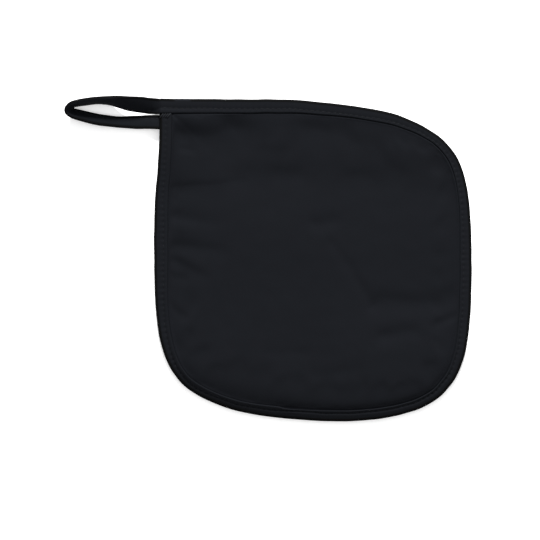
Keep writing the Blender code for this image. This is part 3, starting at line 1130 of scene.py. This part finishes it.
@dataclass(frozen=True)
class TapeForm:
    """How the folded tape is shaped across, how its stitches pucker it, and where painted shade darkens
    its edges.

    The two values of a pair are for the thin doubled tape of the loop and for the thick tape
    over the pad's edge. An inset is from the folded outer edge.

    Attributes:
        thin_half: Half the thickness of the thin tape.
        thick_half: Half the thickness of the thick tape.
        round_in: How far in the folded outer edge is rounded.
        lip_in: How far from the inner edge the lip is rounded.
        lip_drop: How far it falls there.
        groove_outside: Half the sewn groove's width on the side of the outer edge.
        groove_inside: Half its width on the side of the inner edge.
        narrowing: How much narrower it is for each millimetre that it is deep.
        pucker: How high the cloth puckers at a stitch's middle.
        hole: How deep the needle holes are.
        hole_power: How sharply they start along the tape.
        hole_half: Half their width across it.
        pitch: From one needle hole to the next.
        pitch_drift: How uneven the stitches' places are, in stitches.
        pull_drift: How uneven their pull is.
        pull_outside: How far it reaches on the side of the outer edge.
        pull_inside: How far it reaches on the side of the inner edge.
        from_lip: Where the front's points by the inner edge lie, from that edge.
        from_edge: Where its points by the outer edge lie, from that edge.
        between: Where its points in between lie, as shares of that stretch.
        inner_shares: Where the points inside the fold lie, as shares of its depth.
        side: How thick one side of the folded tape is.
        thin_gap: Half the gap between its two sides at the least.
        sink_run: How far in a front that is sunk comes to its full depth.
        back_round: How far in the back is rounded where it lies flat.
        back_keep: How much of its own form it keeps there.
        edge_shade_reach: How far in from its edges the painted edge shade reaches.
        edge_shade_fade: How far the painted edge shade takes to fade.
        edge_shade_least: The least share of edge_shade_reach that the painted edge shade reaches on the
            front of a tape on edge.
        rolled_from: The slope from which the front gets painted shade as rolled over.
        rolled_over: How much more slope gives it the full painted shade.
        rolled_shade: How much painted shade a rolled front gets, as a share of the edge's.
    """

    thin_half: float = 0.8
    thick_half: float = 2.3
    round_in: tuple[float, float] = (0.45, 1.3)
    lip_in: tuple[float, float] = (0.7, 0.85)
    lip_drop: tuple[float, float] = (0.4, 0.55)
    groove_outside: float = 1.5
    groove_inside: float = 1.4
    narrowing: float = 1.4
    pucker: tuple[float, float] = (0.03, 0.05)
    hole: tuple[float, float] = (0.06, 0.12)
    hole_power: int = 3
    hole_half: float = 0.5
    pitch: float = 3.6
    pitch_drift: Drift = Drift(0.10, 14.0, 4.4)
    pull_drift: Drift = Drift(0.6, 11.0, 2.2)
    pull_outside: float = 3.4
    pull_inside: float = 1.3
    from_lip: tuple[float, ...] = (0.0, 0.12, 0.3, 0.55, 0.85, 1.15, 1.5, 1.85, 2.2, 2.55, 2.9, 3.3)
    from_edge: tuple[float, ...] = (2.3, 1.85, 1.45, 1.1, 0.8, 0.55, 0.34, 0.18, 0.06)
    between: tuple[float, ...] = (0.25, 0.5, 0.75)
    inner_shares: tuple[float, ...] = (0.0, 0.12, 0.3, 0.5, 0.7, 0.85, 1.0)
    side: float = 0.75
    thin_gap: float = 0.05
    sink_run: float = 2.0
    back_round: float = 1.9
    back_keep: float = 0.25
    edge_shade_reach: float = 2.1
    edge_shade_fade: float = 0.6
    edge_shade_least: float = 0.23
    rolled_from: float = 0.8
    rolled_over: float = 0.5
    rolled_shade: float = 0.5

    def pick(self, pair: tuple[float, float], half: np.ndarray) -> np.ndarray:
        """The value between a pair's two that a half thickness calls for."""
        share = np.clip((half - self.thin_half) / (self.thick_half - self.thin_half), 0.0, 1.0)
        return pair[0] + share * (pair[1] - pair[0])

    def stitches(self, run: TapeRun) -> np.ndarray:
        """How many stitches there are up to each place: a whole number at a stitch's middle."""
        return run.along / self.pitch + self.pitch_drift.along(run.along)

    def insets(self, width: np.ndarray) -> np.ndarray:
        """Where the points over the front lie, from the inner edge out.

        Args:
            width: The tape's width at each place.

        Returns:
            A row of insets for each place.
        """
        inner = width[:, None] - np.array(self.from_lip)
        outer = np.tile(self.from_edge, (len(width), 1))
        start, end = inner[:, -1:], outer[:, :1]
        middle = start + np.array(self.between) * (end - start)
        return np.concatenate([inner, middle, outer, np.zeros((len(width), 1))], axis=1)

    def face(self, run: TapeRun, inset: np.ndarray) -> np.ndarray:
        """The face's height above the tape's middle, before its stitches pucker it.

        Args:
            run: The places along the tape.
            inset: A row of insets for each place.

        Returns:
            The heights.
        """
        half = run.half[:, None]
        from_lip = run.width[:, None] - inset
        rounded = np.clip(1 - inset / self.pick(self.round_in, half), 0.0, 1.0)
        wedge = run.slope[:, None] * np.clip(from_lip / run.width[:, None], 0.0, 1.0)
        height = half * np.sqrt(1 - rounded**2) * (1 - wedge)
        from_groove = from_lip - run.sewn_in[:, None]
        dip = run.dip[:, None]
        wide = np.where(from_groove > 0, self.groove_outside, self.groove_inside)
        height = height - dip * bell(from_groove, wide - self.narrowing * dip)
        lip = np.clip(1 - from_lip / self.pick(self.lip_in, half), 0.0, 1.0)
        return height - self.pick(self.lip_drop, half) * (1 - np.sqrt(1 - lip**2))

    def puckers(self, run: TapeRun, inset: np.ndarray) -> np.ndarray:
        """What the stitches add to the face's height.

        Args:
            run: The places along the tape.
            inset: A row of insets for each place.

        Returns:
            The heights that they add.
        """
        half = run.half[:, None]
        crest = np.cos(2 * math.pi * self.stitches(run))[:, None]
        strength = 1.0 + self.pull_drift.along(run.along)[:, None]
        from_groove = run.width[:, None] - inset - run.sewn_in[:, None]
        reach = np.where(from_groove > 0, self.pull_outside, self.pull_inside)
        puckers = self.pick(self.pucker, half) * crest * strength * bell(from_groove, reach)
        holes = np.clip(-crest, 0.0, 1.0) ** self.hole_power * bell(from_groove, self.hole_half)
        return puckers - self.pick(self.hole, half) * holes

    def front(self, run: TapeRun, inset: np.ndarray) -> np.ndarray:
        """The front's height above the tape's middle, at a row of insets for each place."""
        front = self.face(run, inset) + self.puckers(run, inset)
        return front - run.sink[:, None] * np.clip(inset / self.sink_run, 0.0, 1.0)

    def back(self, run: TapeRun, inset: np.ndarray) -> np.ndarray:
        """The back's height, which is less than 0 below the tape's middle.

        Args:
            run: The places along the tape.
            inset: A row of insets for each place.

        Returns:
            The heights.
        """
        back = -self.face(run, inset)
        rounded = np.clip(1 - inset / self.back_round, 0.0, 1.0)
        pressed = -run.half[:, None] * np.sqrt(1 - rounded**2)
        flat = run.flat_back[:, None]
        return back + flat * (pressed + self.back_keep * (back - pressed) - back)

    def inside(self, run: TapeRun) -> tuple[np.ndarray, np.ndarray]:
        """The inside of the fold, in along its lower side and out along its upper one.

        Args:
            run: The places along the tape.

        Returns:
            The insets and the heights, with a row of each for each place.
        """
        shares = np.array(self.inner_shares)
        flat = run.flat_back[:, None]
        deep = run.width[:, None] + shares * (self.side - run.width)[:, None]
        ceiling = np.maximum(self.face(run, deep) - self.side, self.thin_gap)
        level = (run.half[:, None] - self.side) * (1 - shares)
        ceiling[:, 0] = np.maximum(run.half - self.side, self.thin_gap)
        under = np.maximum(flat * level + (1 - flat) * ceiling, self.thin_gap)
        inset = np.concatenate([deep, deep[:, ::-1]], axis=1)
        height = np.concatenate([-under, ceiling[:, ::-1] - run.sink[:, None]], axis=1)
        return inset, height

    def edge_shade_mask(self, run: TapeRun, inset: np.ndarray, fronts: int) -> np.ndarray:
        """Painted shade on the outside: along the outer edge where it turns down past the front's crests,
        along a thin tape's inner edge, and over a front that rolls over.

        Args:
            run: The places along the tape.
            inset: A row of the outside's insets for each place.
            fronts: How many of a row's points are on the front.

        Returns:
            The values from 0 to 1.
        """
        thin = self.pick((1.0, 0.0), run.half[:, None])
        on_front = np.arange(inset.shape[1]) < fronts
        level = np.maximum(run.up[:, 2:] ** 2, self.edge_shade_least)
        reach = self.edge_shade_reach * np.where(on_front, level, 1.0)
        from_groove = run.width[:, None] - run.sewn_in[:, None] - inset
        rolled = smooth((run.slope[:, None] - self.rolled_from) / self.rolled_over)
        # Painted shade: darkest on the outer edge, on a thin tape's inner edge, and on a rolled front
        return np.maximum.reduce((
            smooth((reach - inset) / self.edge_shade_fade),
            smooth((reach + inset - run.width[:, None]) / self.edge_shade_fade) * thin,
            self.rolled_shade * rolled * smooth(from_groove / self.edge_shade_fade),
        ))

    def sections(self, run: TapeRun) -> tuple[np.ndarray, np.ndarray]:
        """The tape cut across at each place.

        Args:
            run: The places along the tape.

        Returns:
            Points in millimetres, place by place and round each cut, and for each point its share of
            painted edge shade, from 0 to 1.
        """
        front_in = self.insets(run.width)
        back_in = front_in[:, -2::-1]
        inner_in, inner = self.inside(run)
        outer_in = np.concatenate([front_in, back_in], axis=1)
        inset = np.concatenate([outer_in, inner_in], axis=1)
        height = np.concatenate([self.front(run, front_in), self.back(run, back_in), inner], axis=1)
        height = height + bow(run.belly[:, None], inset / run.width[:, None])
        points = run.edge[:, None] + inset[..., None] * run.across[:, None]
        points = points + height[..., None] * run.up[:, None]
        turned = np.zeros_like(inset)
        turned[:, : outer_in.shape[1]] = self.edge_shade_mask(run, outer_in, front_in.shape[1])
        # The painted edge shade is left off where another tape runs in under the outer edge
        return points, turned * (1 - run.crossed[:, None])


@dataclass
class Tape:
    """A length of the folded tape, as one closed sheet.

    Attributes:
        name: The piece's name.
        node: The solid that it stands for.
        slot: The record's material slot; not used.
        form: How it is shaped across.
    """

    name: str
    node: str
    slot: str
    form: TapeForm = field(default_factory=TapeForm)

    def run(self) -> TapeRun:
        """The places along the tape."""
        raise NotImplementedError

    def flat_size(self, run: TapeRun) -> tuple[float, float]:
        """The pressed tape's width before it is folded over, and its length, in metres."""
        width = 2 * float(run.width.mean()) + 2 * float(run.half.mean())
        return width * MM, float(run.along[-1] - run.along[0]) * MM

    def sheet(self, run: TapeRun) -> bmesh.types.BMesh:
        """The tape's mesh: a grid that is wrapped along and round the run.

        Args:
            run: The places along the tape.

        Returns:
            The closed mesh in millimetres, with its weave map.
        """
        points, turned = self.form.sections(run)
        stations, places = points.shape[:2]
        rounds = np.concatenate([points, points[:, :1]], axis=1)
        spans = np.linalg.norm(np.diff(rounds, axis=1), axis=2).mean(axis=0)
        across = np.concatenate([[0.0], np.cumsum(spans)])
        bm = bmesh.new()
        weave = bm.loops.layers.uv.new(WEAVE_MAP)
        # This layer holds each point's share of painted edge shade
        turn_of = bm.verts.layers.float.new(EDGE_SHADE_LAYER)
        bmesh.ops.create_grid(bm, x_segments=stations - 1, y_segments=places, size=1.0)
        flat = np.array([vert.co for vert in bm.verts])
        station = np.rint((flat[:, 0] + 1) / 2 * (stations - 1)).astype(int)
        place = np.rint((flat[:, 1] + 1) / 2 * places).astype(int)
        maps = np.stack([run.along[station], across[place]], axis=1) * MM
        for vert, spot, cut, around in zip(bm.verts, maps, station, place):
            vert.co = points[cut, around % places]
            vert[turn_of] = turned[cut, around % places]
            for loop in vert.link_loops:
                loop[weave].uv = spot
        bmesh.ops.remove_doubles(bm, verts=bm.verts, dist=1e-5)
        bmesh.ops.holes_fill(bm, edges=[edge for edge in bm.edges if edge.is_boundary])
        return bm

    def build(self) -> bpy.types.Object:
        """Returns:
            The finished tape.
        """
        run = self.run()
        piece = finished(self.name, self.sheet(run), TAPE_TWILL)
        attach(piece, "root")
        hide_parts(self.node)
        self.flat_size(run)
        return piece


@dataclass
class EdgeBinding(Tape):
    """The tape folded over the pad's edge, all round from under the square corner to its end.

    The tape's own ends lap over at the join in the bottom edge.

    Attributes:
        plan: The plan that it runs round.
        lay: How its corner is raised.
        step: From one place along it to the next.
        middle: How high the tape's middle lies.
        tuck: How far its start is tucked under the top edge's tape.
        tuck_sink: How far the front is sunk there.
        tuck_blend: How far past the tuck it takes to rise.
        outset: How far outside the plan's edge the tape lies.
        edge_drift: How uneven its outer edge is.
        width_drift: How uneven its width is.
        seam_drift: How uneven the sewn line is.
        corner_dip: How much deeper that line is at its last corner.
        corner_reach: How far from the corner that holds.
        join_x: The plan point of the join's middle.
        join_y: The plan point of the join's middle.
        join_half: Half the length of the lap.
        join_change: How much the width changes where the lap starts.
        join_blend: How long the change takes.
        join_reach: How far from the join it fades.
        join_dip: How much deeper the sewn line is in the lap.
        join_dip_before: How far before the join's middle that is.
        join_dip_reach: How far it reaches.
        lap_rise: How much higher the lap lies.
        lap_start: How long it takes to rise.
        lap_end: How long it takes to fall.
        crossing: From where to where, before the end, the loop runs in under the outer edge, where no
            painted edge shade is laid.
        crossing_blend: How long that takes to start and to end.
    """

    plan: Plan = field(default_factory=Plan)
    lay: Lay = field(default_factory=Lay)
    step: float = 0.72
    middle: float = 2.3
    tuck: float = 1.2
    tuck_sink: float = 0.6
    tuck_blend: float = 0.6
    outset: float = 0.42
    edge_drift: Drift = Drift(0.10, 8.0, 9.5)
    width_drift: Drift = Drift(0.12, 17.0, 6.1)
    seam_drift: Drift = Drift(0.2, 12.0, 3.3)
    corner_dip: float = 0.12
    corner_reach: float = 26.0
    join_x: float = 15.2
    join_y: float = -100.3
    join_half: float = 7.2
    join_change: float = -0.45
    join_blend: float = 2.0
    join_reach: float = 22.0
    join_dip: float = 0.25
    join_dip_before: float = 2.0
    join_dip_reach: float = 5.0
    lap_rise: float = 0.25
    lap_start: float = 0.8
    lap_end: float = 4.0
    crossing: tuple[float, float] = (8.5, 20.0)
    crossing_blend: float = 1.5

    def run(self) -> TapeRun:
        """The places along the binding.

        Returns:
            The places, from under the square corner round to its other side.
        """
        plan = self.plan
        start = plan.faces[-1].width - self.tuck
        along = np.linspace(start, plan.length, round((plan.length - start) / self.step) + 1)
        inward = plan.inward(along)
        face = plan.face(plan.turn(along))
        join = along - plan.nearest(self.join_x, self.join_y)
        to_end = plan.length - along
        change = np.tanh((join + self.join_half) / self.join_blend) * bell(join, self.join_reach)
        width = face.width + self.width_drift.along(along) + self.join_change * change
        outer = plan.at(along) - (self.outset + self.edge_drift.along(along)[:, None]) * inward
        lap = smooth((join + self.join_half) / self.lap_start)
        lap = lap * smooth((self.join_half - join) / self.lap_end)
        tucked = 1 - smooth((along - start) / (self.tuck + self.tuck_blend))
        corner_dip = self.corner_dip * bell(to_end, self.corner_reach)
        join_dip = self.join_dip * bell(join + self.join_dip_before, self.join_dip_reach)
        crossed = smooth((to_end - self.crossing[0]) / self.crossing_blend)
        crossed = crossed * smooth((self.crossing[1] - to_end) / self.crossing_blend)
        return TapeRun(
            along=along,
            edge=np.column_stack([outer, self.middle + self.lay.lift(outer)]),
            across=np.column_stack([inward, np.zeros(len(along))]),
            up=np.tile(UP, (len(along), 1)),
            width=width,
            half=np.full(len(along), self.middle),
            slope=face.slope,
            sewn_in=width - face.seam + self.seam_drift.along(along),
            belly=np.zeros(len(along)),
            dip=face.dip + corner_dip + join_dip,
            flat_back=np.ones(len(along)),
            sink=self.tuck_sink * tucked - self.lap_rise * lap,
            crossed=crossed,
        )


class Cut(NamedTuple):
    """The loop's tape cut across: its outer edge is the rim, its inner edge the foot.

    thick is how thick it is, and belly how far its middle bows out of its front.
    """

    rim_x: float
    rim_y: float
    rim_z: float
    foot_x: float
    foot_y: float
    foot_z: float
    thick: float
    belly: float


@dataclass
class HangingLoop(Tape):
    """The tape past the square corner: it stands up on edge, turns back and goes in behind.

    Attributes:
        step: From one place along it to the next.
        curve_steps: Places between two cuts of the table.
        outset: How far past the table's rim the tape reaches.
        widening: How much wider than the table's it is.
        edge_drift: How uneven its outer edge is.
        seam_in: From the inner edge to the sewn line, where the tape is thin.
        seam_shift: How much further in that is where it is thick.
        shift_over: How much thicker that makes it.
        seam_drift: How uneven the sewn line is.
        dip: How deep the sewn line is sunk.
        start_dip: How much deeper it is at the loop's start.
        start_reach: How far along that holds.
        flat_over: How much thicker the tape is where its back lies flat.
        cuts: The tape cut across, from the square corner on.
    """

    step: float = 0.6
    curve_steps: int = 24
    outset: float = 0.2
    widening: float = 0.35
    edge_drift: Drift = Drift(0.06, 7.0, 1.9)
    seam_in: float = 2.2
    seam_shift: float = 1.4
    shift_over: float = 2.4
    seam_drift: Drift = Drift(0.15, 10.0, 7.7)
    dip: float = 0.16
    start_dip: float = 0.1
    start_reach: float = 8.0
    flat_over: float = 2.0
    cuts: tuple[Cut, ...] = (
        Cut(-67.4, 100.6, 4.15, -67.4, 91.2, 4.15, 4.5, 0.0),
        Cut(-69.0, 100.75, 4.5, -69.0, 91.25, 3.4, 3.2, 0.0),
        Cut(-70.8, 100.9, 5.1, -70.8, 91.3, 2.8, 2.2, 0.1),
        Cut(-72.8, 101.0, 5.8, -72.8, 91.4, 2.6, 1.7, 0.2),
        Cut(-75.2, 101.2, 6.5, -75.2, 91.5, 2.5, 1.6, 0.3),
        Cut(-80.6, 101.7, 7.5, -80.6, 92.2, 2.7, 1.6, 0.5),
        Cut(-88.2, 101.9, 8.5, -88.2, 93.6, 2.5, 1.8, 0.8),
        Cut(-93.9, 102.0, 9.3, -93.9, 95.6, 1.9, 2.2, 0.9),
        Cut(-99.6, 101.65, 9.8, -99.6, 97.8, 1.0, 2.4, 1.2),
        Cut(-107.2, 101.15, 10.0, -107.2, 98.6, 0.5, 2.4, 0.8),
        Cut(-114.8, 100.15, 10.0, -114.4, 97.8, 0.35, 2.4, 0.5),
        Cut(-121.1, 99.0, 9.6, -120.1, 96.9, 0.35, 2.1, 0.5),
        Cut(-125.2, 97.5, 9.0, -122.1, 96.2, 0.4, 1.6, 0.6),
        Cut(-127.6, 94.4, 8.0, -122.9, 95.4, 0.4, 1.6, 0.6),
        Cut(-127.2, 91.4, 6.9, -122.6, 94.6, 0.5, 1.6, 0.6),
        Cut(-124.2, 89.0, 5.9, -121.2, 94.2, 0.6, 1.6, 0.7),
        Cut(-118.5, 87.0, 4.9, -118.2, 93.6, 0.75, 1.6, 0.8),
        Cut(-111.0, 85.0, 4.0, -111.0, 92.0, 0.85, 1.6, 0.8),
        Cut(-103.4, 83.7, 3.3, -103.4, 90.6, 0.9, 1.6, 0.7),
        Cut(-93.9, 82.8, 2.6, -93.9, 89.6, 0.9, 1.6, 0.5),
        Cut(-84.4, 82.0, 1.9, -84.4, 90.0, 1.1, 1.6, 0.3),
        Cut(-76.8, 82.0, 2.3, -76.8, 90.4, 1.8, 1.6, 0.1),
        Cut(-71.2, 81.7, 3.3, -71.2, 90.3, 2.8, 1.9, 0.0),
        Cut(-67.9, 81.7, 3.1, -67.9, 90.3, 2.9, 1.9, 0.0),
        Cut(-64.8, 81.8, 1.1, -64.8, 90.3, 1.1, 1.4, 0.0),
        Cut(-57.9, 82.1, 0.9, -57.9, 90.4, 0.9, 1.4, 0.0),
    )

    def finer_cuts(self) -> np.ndarray:
        """The table's rows with even steps of a smooth curve between them.

        Returns:
            Rows of how far along the tape they are, followed by a cut's values.
        """
        table = np.array(self.cuts)
        rows = np.concatenate([table[:1], table, table[-1:]])
        share = np.linspace(0, 1, self.curve_steps, endpoint=False)[:, None]
        curves = []
        for a, b, c, d in zip(rows, rows[1:], rows[2:], rows[3:]):
            bend, twist = 2 * a - 5 * b + 4 * c - d, 3 * b - a - 3 * c + d
            curves.append(b + (c - a) / 2 * share + bend / 2 * share**2 + twist / 2 * share**3)
        fine = np.concatenate([*curves, table[-1:]])
        middles = (fine[:, 0:3] + fine[:, 3:6]) / 2
        steps = np.linalg.norm(np.diff(middles, axis=0), axis=1)
        along = np.concatenate([[0.0], np.cumsum(steps)])
        even = np.linspace(0, along[-1], round(along[-1] / self.step) + 1)
        columns = [np.interp(even, along, fine[:, column]) for column in range(fine.shape[1])]
        return np.column_stack([even, *columns])

    def run(self) -> TapeRun:
        """The places along the loop.

        Returns:
            The places, from the square corner round to behind it.
        """
        rows = self.finer_cuts()
        along, rims, feet, thick = rows[:, 0], rows[:, 1:4], rows[:, 4:7], rows[:, 7]
        heading = unit(np.gradient((rims + feet) / 2, axis=0))
        across = feet - rims
        extra = thick - 2 * self.form.thin_half
        outset = self.outset + self.edge_drift.along(along)[:, None]
        seam_shift = self.seam_shift * smooth(extra / self.shift_over)
        return TapeRun(
            along=along,
            edge=rims - outset * unit(across),
            across=unit(across),
            up=unit(np.cross(heading, across)),
            width=np.linalg.norm(across, axis=1) + self.widening,
            half=thick / 2,
            slope=np.zeros(len(along)),
            sewn_in=self.seam_in + seam_shift + self.seam_drift.along(along),
            belly=rows[:, 8],
            dip=self.dip + self.start_dip * bell(along, self.start_reach),
            flat_back=smooth(extra / self.flat_over),
            sink=np.zeros(len(along)),
            crossed=np.zeros(len(along)),
        )


# Sewing


@dataclass
class StitchRow:
    """Lockstitches of thread sunk into a tape's groove, joined into one piece.

    Attributes:
        name: The piece's name.
        thread: The thread's radius.
        pitch: From one needle hole to the next.
        sides: Faces round the thread.
        bends: Pieces along one stitch.
        reach: Half a stitch's length, as a share of the pitch.
        rise: How high its middle lies above the groove.
        dive: How far it dives into its holes.
        dive_power: How late it does.
        taper: How much thinner it is at its ends.
        taper_power: How late it thins.
        flatness: The thread's height as a share of its width.
        finish: The thread that it is sewn with.
    """

    name: str
    thread: float = 0.15
    pitch: float = TapeForm.pitch
    sides: int = 6
    bends: int = 8
    reach: float = 0.47
    rise: float = 0.02
    dive: float = 0.55
    dive_power: float = 3.5
    taper: float = 0.35
    taper_power: int = 4
    flatness: float = 0.85
    finish: ThreadFinish = THREAD

    def stitch(self) -> bpy.types.Mesh:
        """One stitch, lying along X over Z = 0 and dipping into its holes.

        Returns:
            Its mesh in metres.
        """
        bm = bmesh.new()
        bmesh.ops.create_cone(
            bm, cap_ends=True, segments=self.sides, radius1=1.0, radius2=1.0, depth=2.0
        )
        long_edges = [e for e in bm.edges if abs(e.verts[0].co.z - e.verts[1].co.z) > 1]
        bmesh.ops.subdivide_edges(bm, edges=long_edges, cuts=self.bends - 1)
        for vert in bm.verts:
            share = vert.co.z
            rise = self.rise - self.dive * abs(share) ** self.dive_power
            thin = 1 - self.taper * abs(share) ** self.taper_power
            across = vert.co.x * self.thread * thin
            upwards = vert.co.y * self.thread * thin * self.flatness + rise
            vert.co = (share * self.pitch * self.reach, across, upwards)
        bmesh.ops.recalc_face_normals(bm, faces=bm.faces)
        bmesh.ops.scale(bm, vec=(MM, MM, MM), verts=bm.verts)
        mesh = bpy.data.meshes.new(self.name + ".stitch")
        bm.to_mesh(mesh)
        bm.free()
        return mesh

    def build(self, places: list[Matrix]) -> bpy.types.Object:
        """Lays a stitch at each place.

        Args:
            places: Matrices in metres, each from a stitch's own axes to where it lies.

        Returns:
            The row as one object on its body.
        """
        stitch = self.stitch()
        bm = bmesh.new()
        for place in places:
            laid = stitch.copy()
            laid.transform(place)
            bm.from_mesh(laid)
            bpy.data.meshes.remove(laid)
        bpy.data.meshes.remove(stitch)
        mesh = bpy.data.meshes.new(self.name)
        bm.to_mesh(mesh)
        bm.free()
        mesh.materials.append(self.finish.material)
        mesh.shade_smooth()
        piece = linked(self.name, mesh)
        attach(piece, "root")
        return piece


@dataclass
class Seam:
    """The sewn line of a tape, as the places of its stitches.

    Attributes:
        tape: The tape that it holds shut.
        front: Whether it is the line on the tape's front.
        first: Where along the tape it starts.
        last: How far before the tape's end it stops.
        sunk_back: How far the thread is sunk into a back that lies flat.
    """

    tape: Tape
    front: bool = True
    first: float = 2.0
    last: float = 1.0
    sunk_back: float = 0.12

    def places(self) -> list[Matrix]:
        """Where the stitches lie.

        Returns:
            A matrix for each, from along, across and out of the face to the scene in metres.
        """
        run, form = self.tape.run(), self.tape.form
        count = form.stitches(run)
        half = form.pitch / 2
        inset = run.width - run.sewn_in
        level = form.face(run, inset[:, None])[:, 0]
        if not self.front:
            flat = run.half - self.sunk_back
            level = -(level * (1 - run.flat_back) + flat * run.flat_back)
        level = level + bow(run.belly, inset / run.width) - run.sink * self.front
        line = run.edge + inset[:, None] * run.across + level[:, None] * run.up
        out = run.up if self.front else -run.up
        matrices = []
        for number in range(math.ceil(count[0]), math.floor(count[-1]) + 1):
            along = float(np.interp(number, count, run.along))
            if not run.along[0] + self.first < along < run.along[-1] - self.last:
                continue
            start, middle, end = (self.at(line, run, along + step) for step in (-half, 0.0, half))
            heading = Vector(unit(end - start))
            outwards = Vector(self.at(out, run, along)).normalized()
            sideways = outwards.cross(heading).normalized()
            turned = Matrix((heading, sideways, heading.cross(sideways))).transposed().to_4x4()
            matrices.append(Matrix.Translation(Vector(middle * MM)) @ turned)
        return matrices

    @staticmethod
    def at(rows: np.ndarray, run: TapeRun, along: float) -> np.ndarray:
        """A row of values at a place along the tape."""
        return np.array([np.interp(along, run.along, column) for column in rows.T])


@dataclass
class CornerTack:
    """A few slanting stitches that hold the square corner, where the tapes cross.

    Attributes:
        binding: The tape that they go through.
        first_x: Where the first one's middle is.
        first_y: Where the first one's middle is.
        spacing: From one to the next.
        count: How many there are.
        slant: Their heading, degrees.
        size: Their length as a share of a stitch in a seam.
        above: How high their middles lie above the tape.
    """

    binding: EdgeBinding
    first_x: float = -66.8
    first_y: float = 90.1
    spacing: float = 1.5
    count: int = 4
    slant: float = 50.0
    size: float = 1.2
    above: float = 0.2

    def places(self) -> list[Matrix]:
        """Where the stitches lie.

        Returns:
            A matrix for each, from its own axes to the scene in metres.
        """
        run, form = self.binding.run(), self.binding.form
        turned = Matrix.Rotation(math.radians(self.slant), 4, "Z")
        turned = turned @ Matrix.Diagonal((self.size, 1.0, 1.0, 1.0))
        matrices = []
        for number in range(self.count):
            x, y = self.first_x + number * self.spacing, self.first_y
            place = int(np.abs(run.edge[: len(run.edge) // 2, 1] - y).argmin())
            inset = np.full((len(run.along), 1), x - run.edge[place, 0])
            z = run.edge[place, 2] + form.face(run, inset)[place, 0] + self.above
            matrices.append(Matrix.Translation(Vector((x, y, z)) * MM) @ turned)
        return matrices


# The studio


@dataclass
class Studio:
    """A pale floor, soft light from beyond the top edge, and a camera straight above.

    Attributes:
        view_x: The plan point at the picture's middle.
        view_y: The plan point at the picture's middle.
        view_width: How wide the picture is at that point's height.
        view_z: The height at which the picture is that wide.
        lens: The camera's focal length, millimetres.
        sensor: The width of its sensor, millimetres.
        floor_size: How wide the floor is, metres.
        key_energy: The large light's power, watts.
        key_size: How wide it is, metres.
        key_distance: How far away it hangs, metres.
        key_elevation: How far above the floor, degrees.
        key_sideways: How far it hangs to the right, as a share of its distance.
        fill_strength: How bright it is all round.
    """

    view_x: float = 1.54
    view_y: float = -7.36
    view_width: float = 341.3
    view_z: float = 2.3
    lens: float = 200.0
    sensor: float = 36.0
    floor_size: float = 6.0
    key_energy: float = 1320.0
    key_size: float = 1.1
    key_distance: float = 6.0
    key_elevation: float = 25.5
    key_sideways: float = 0.05
    fill_strength: float = 0.85

    def camera(self) -> None:
        """Puts the camera straight above, with the top edge up."""
        data = bpy.data.cameras.new("camera")
        data.lens, data.sensor_width = self.lens, self.sensor
        camera = linked("camera", data)
        distance = self.view_width * self.lens / self.sensor
        camera.location = Vector((self.view_x, self.view_y, self.view_z + distance)) * MM
        bpy.context.scene.camera = camera

    def floor(self) -> None:
        """Lays the floor that the pot holder rests on."""
        bm = bmesh.new()
        bmesh.ops.create_grid(bm, x_segments=1, y_segments=1, size=self.floor_size / 2 / MM)
        floor = finished("floor", bm, FLOOR)

    def lights(self) -> None:
        """Hangs a large soft light beyond the top edge, and fills in from all round."""
        data = bpy.data.lights.new("key", "AREA")
        data.shape, data.size = "SQUARE", self.key_size
        data.energy = self.key_energy
        key = linked("key", data)
        elevation = math.radians(self.key_elevation)
        away = Vector((self.key_sideways, math.cos(elevation), math.sin(elevation)))
        key.location = away * self.key_distance
        key.rotation_mode = "QUATERNION"
        key.rotation_quaternion = away.to_track_quat("Z", "Y")
        world = bpy.data.worlds.new("studio")
        world.use_nodes = True
        background = world.node_tree.nodes["Background"]
        background.inputs["Color"].default_value = (1.0, 1.0, 1.0, 1.0)
        background.inputs["Strength"].default_value = self.fill_strength
        bpy.context.scene.world = world

    def build(self) -> None:
        """Builds the studio."""
        bpy.context.scene.view_settings.view_transform = "Standard"
        self.camera()
        self.floor()
        self.lights()


def main() -> None:
    """Builds the pot holder's pieces in order, then the studio."""
    logging.basicConfig(level=logging.INFO, format="%(message)s")
    plan, lay = Plan(), Lay()
    pad = QuiltedPad(plan=plan, lay=lay)
    binding = EdgeBinding(
        name="binding_tape", node="edge_binding", slot="binding_tape", plan=plan, lay=lay
    )
    loop = HangingLoop(name="loop_tape", node="hanging_loop", slot="loop_tape")
    for part in (pad, binding, loop):
        piece = part.build()
        log.info("%s: %d faces", piece.name, len(piece.data.polygons))
    rows = {
        "binding_stitches_front": Seam(binding).places(),
        "binding_stitches_back": Seam(binding, front=False).places(),
        "loop_stitches_inside": Seam(loop, first=4.0, last=9.0).places(),
        "loop_stitches_outside": Seam(loop, front=False, first=4.0, last=9.0).places(),
    }
    for name, places in rows.items():
        piece = StitchRow(name).build(places)
        log.info("%s: %d stitches", piece.name, len(places))
    # The tack thread's lighter colour is painted sheen
    StitchRow("corner_tack", thread=0.3, finish=TACK_THREAD_PAINTED_SHEEN).build(CornerTack(binding).places())
    Studio().build()


if __name__ == "__main__":
    main()
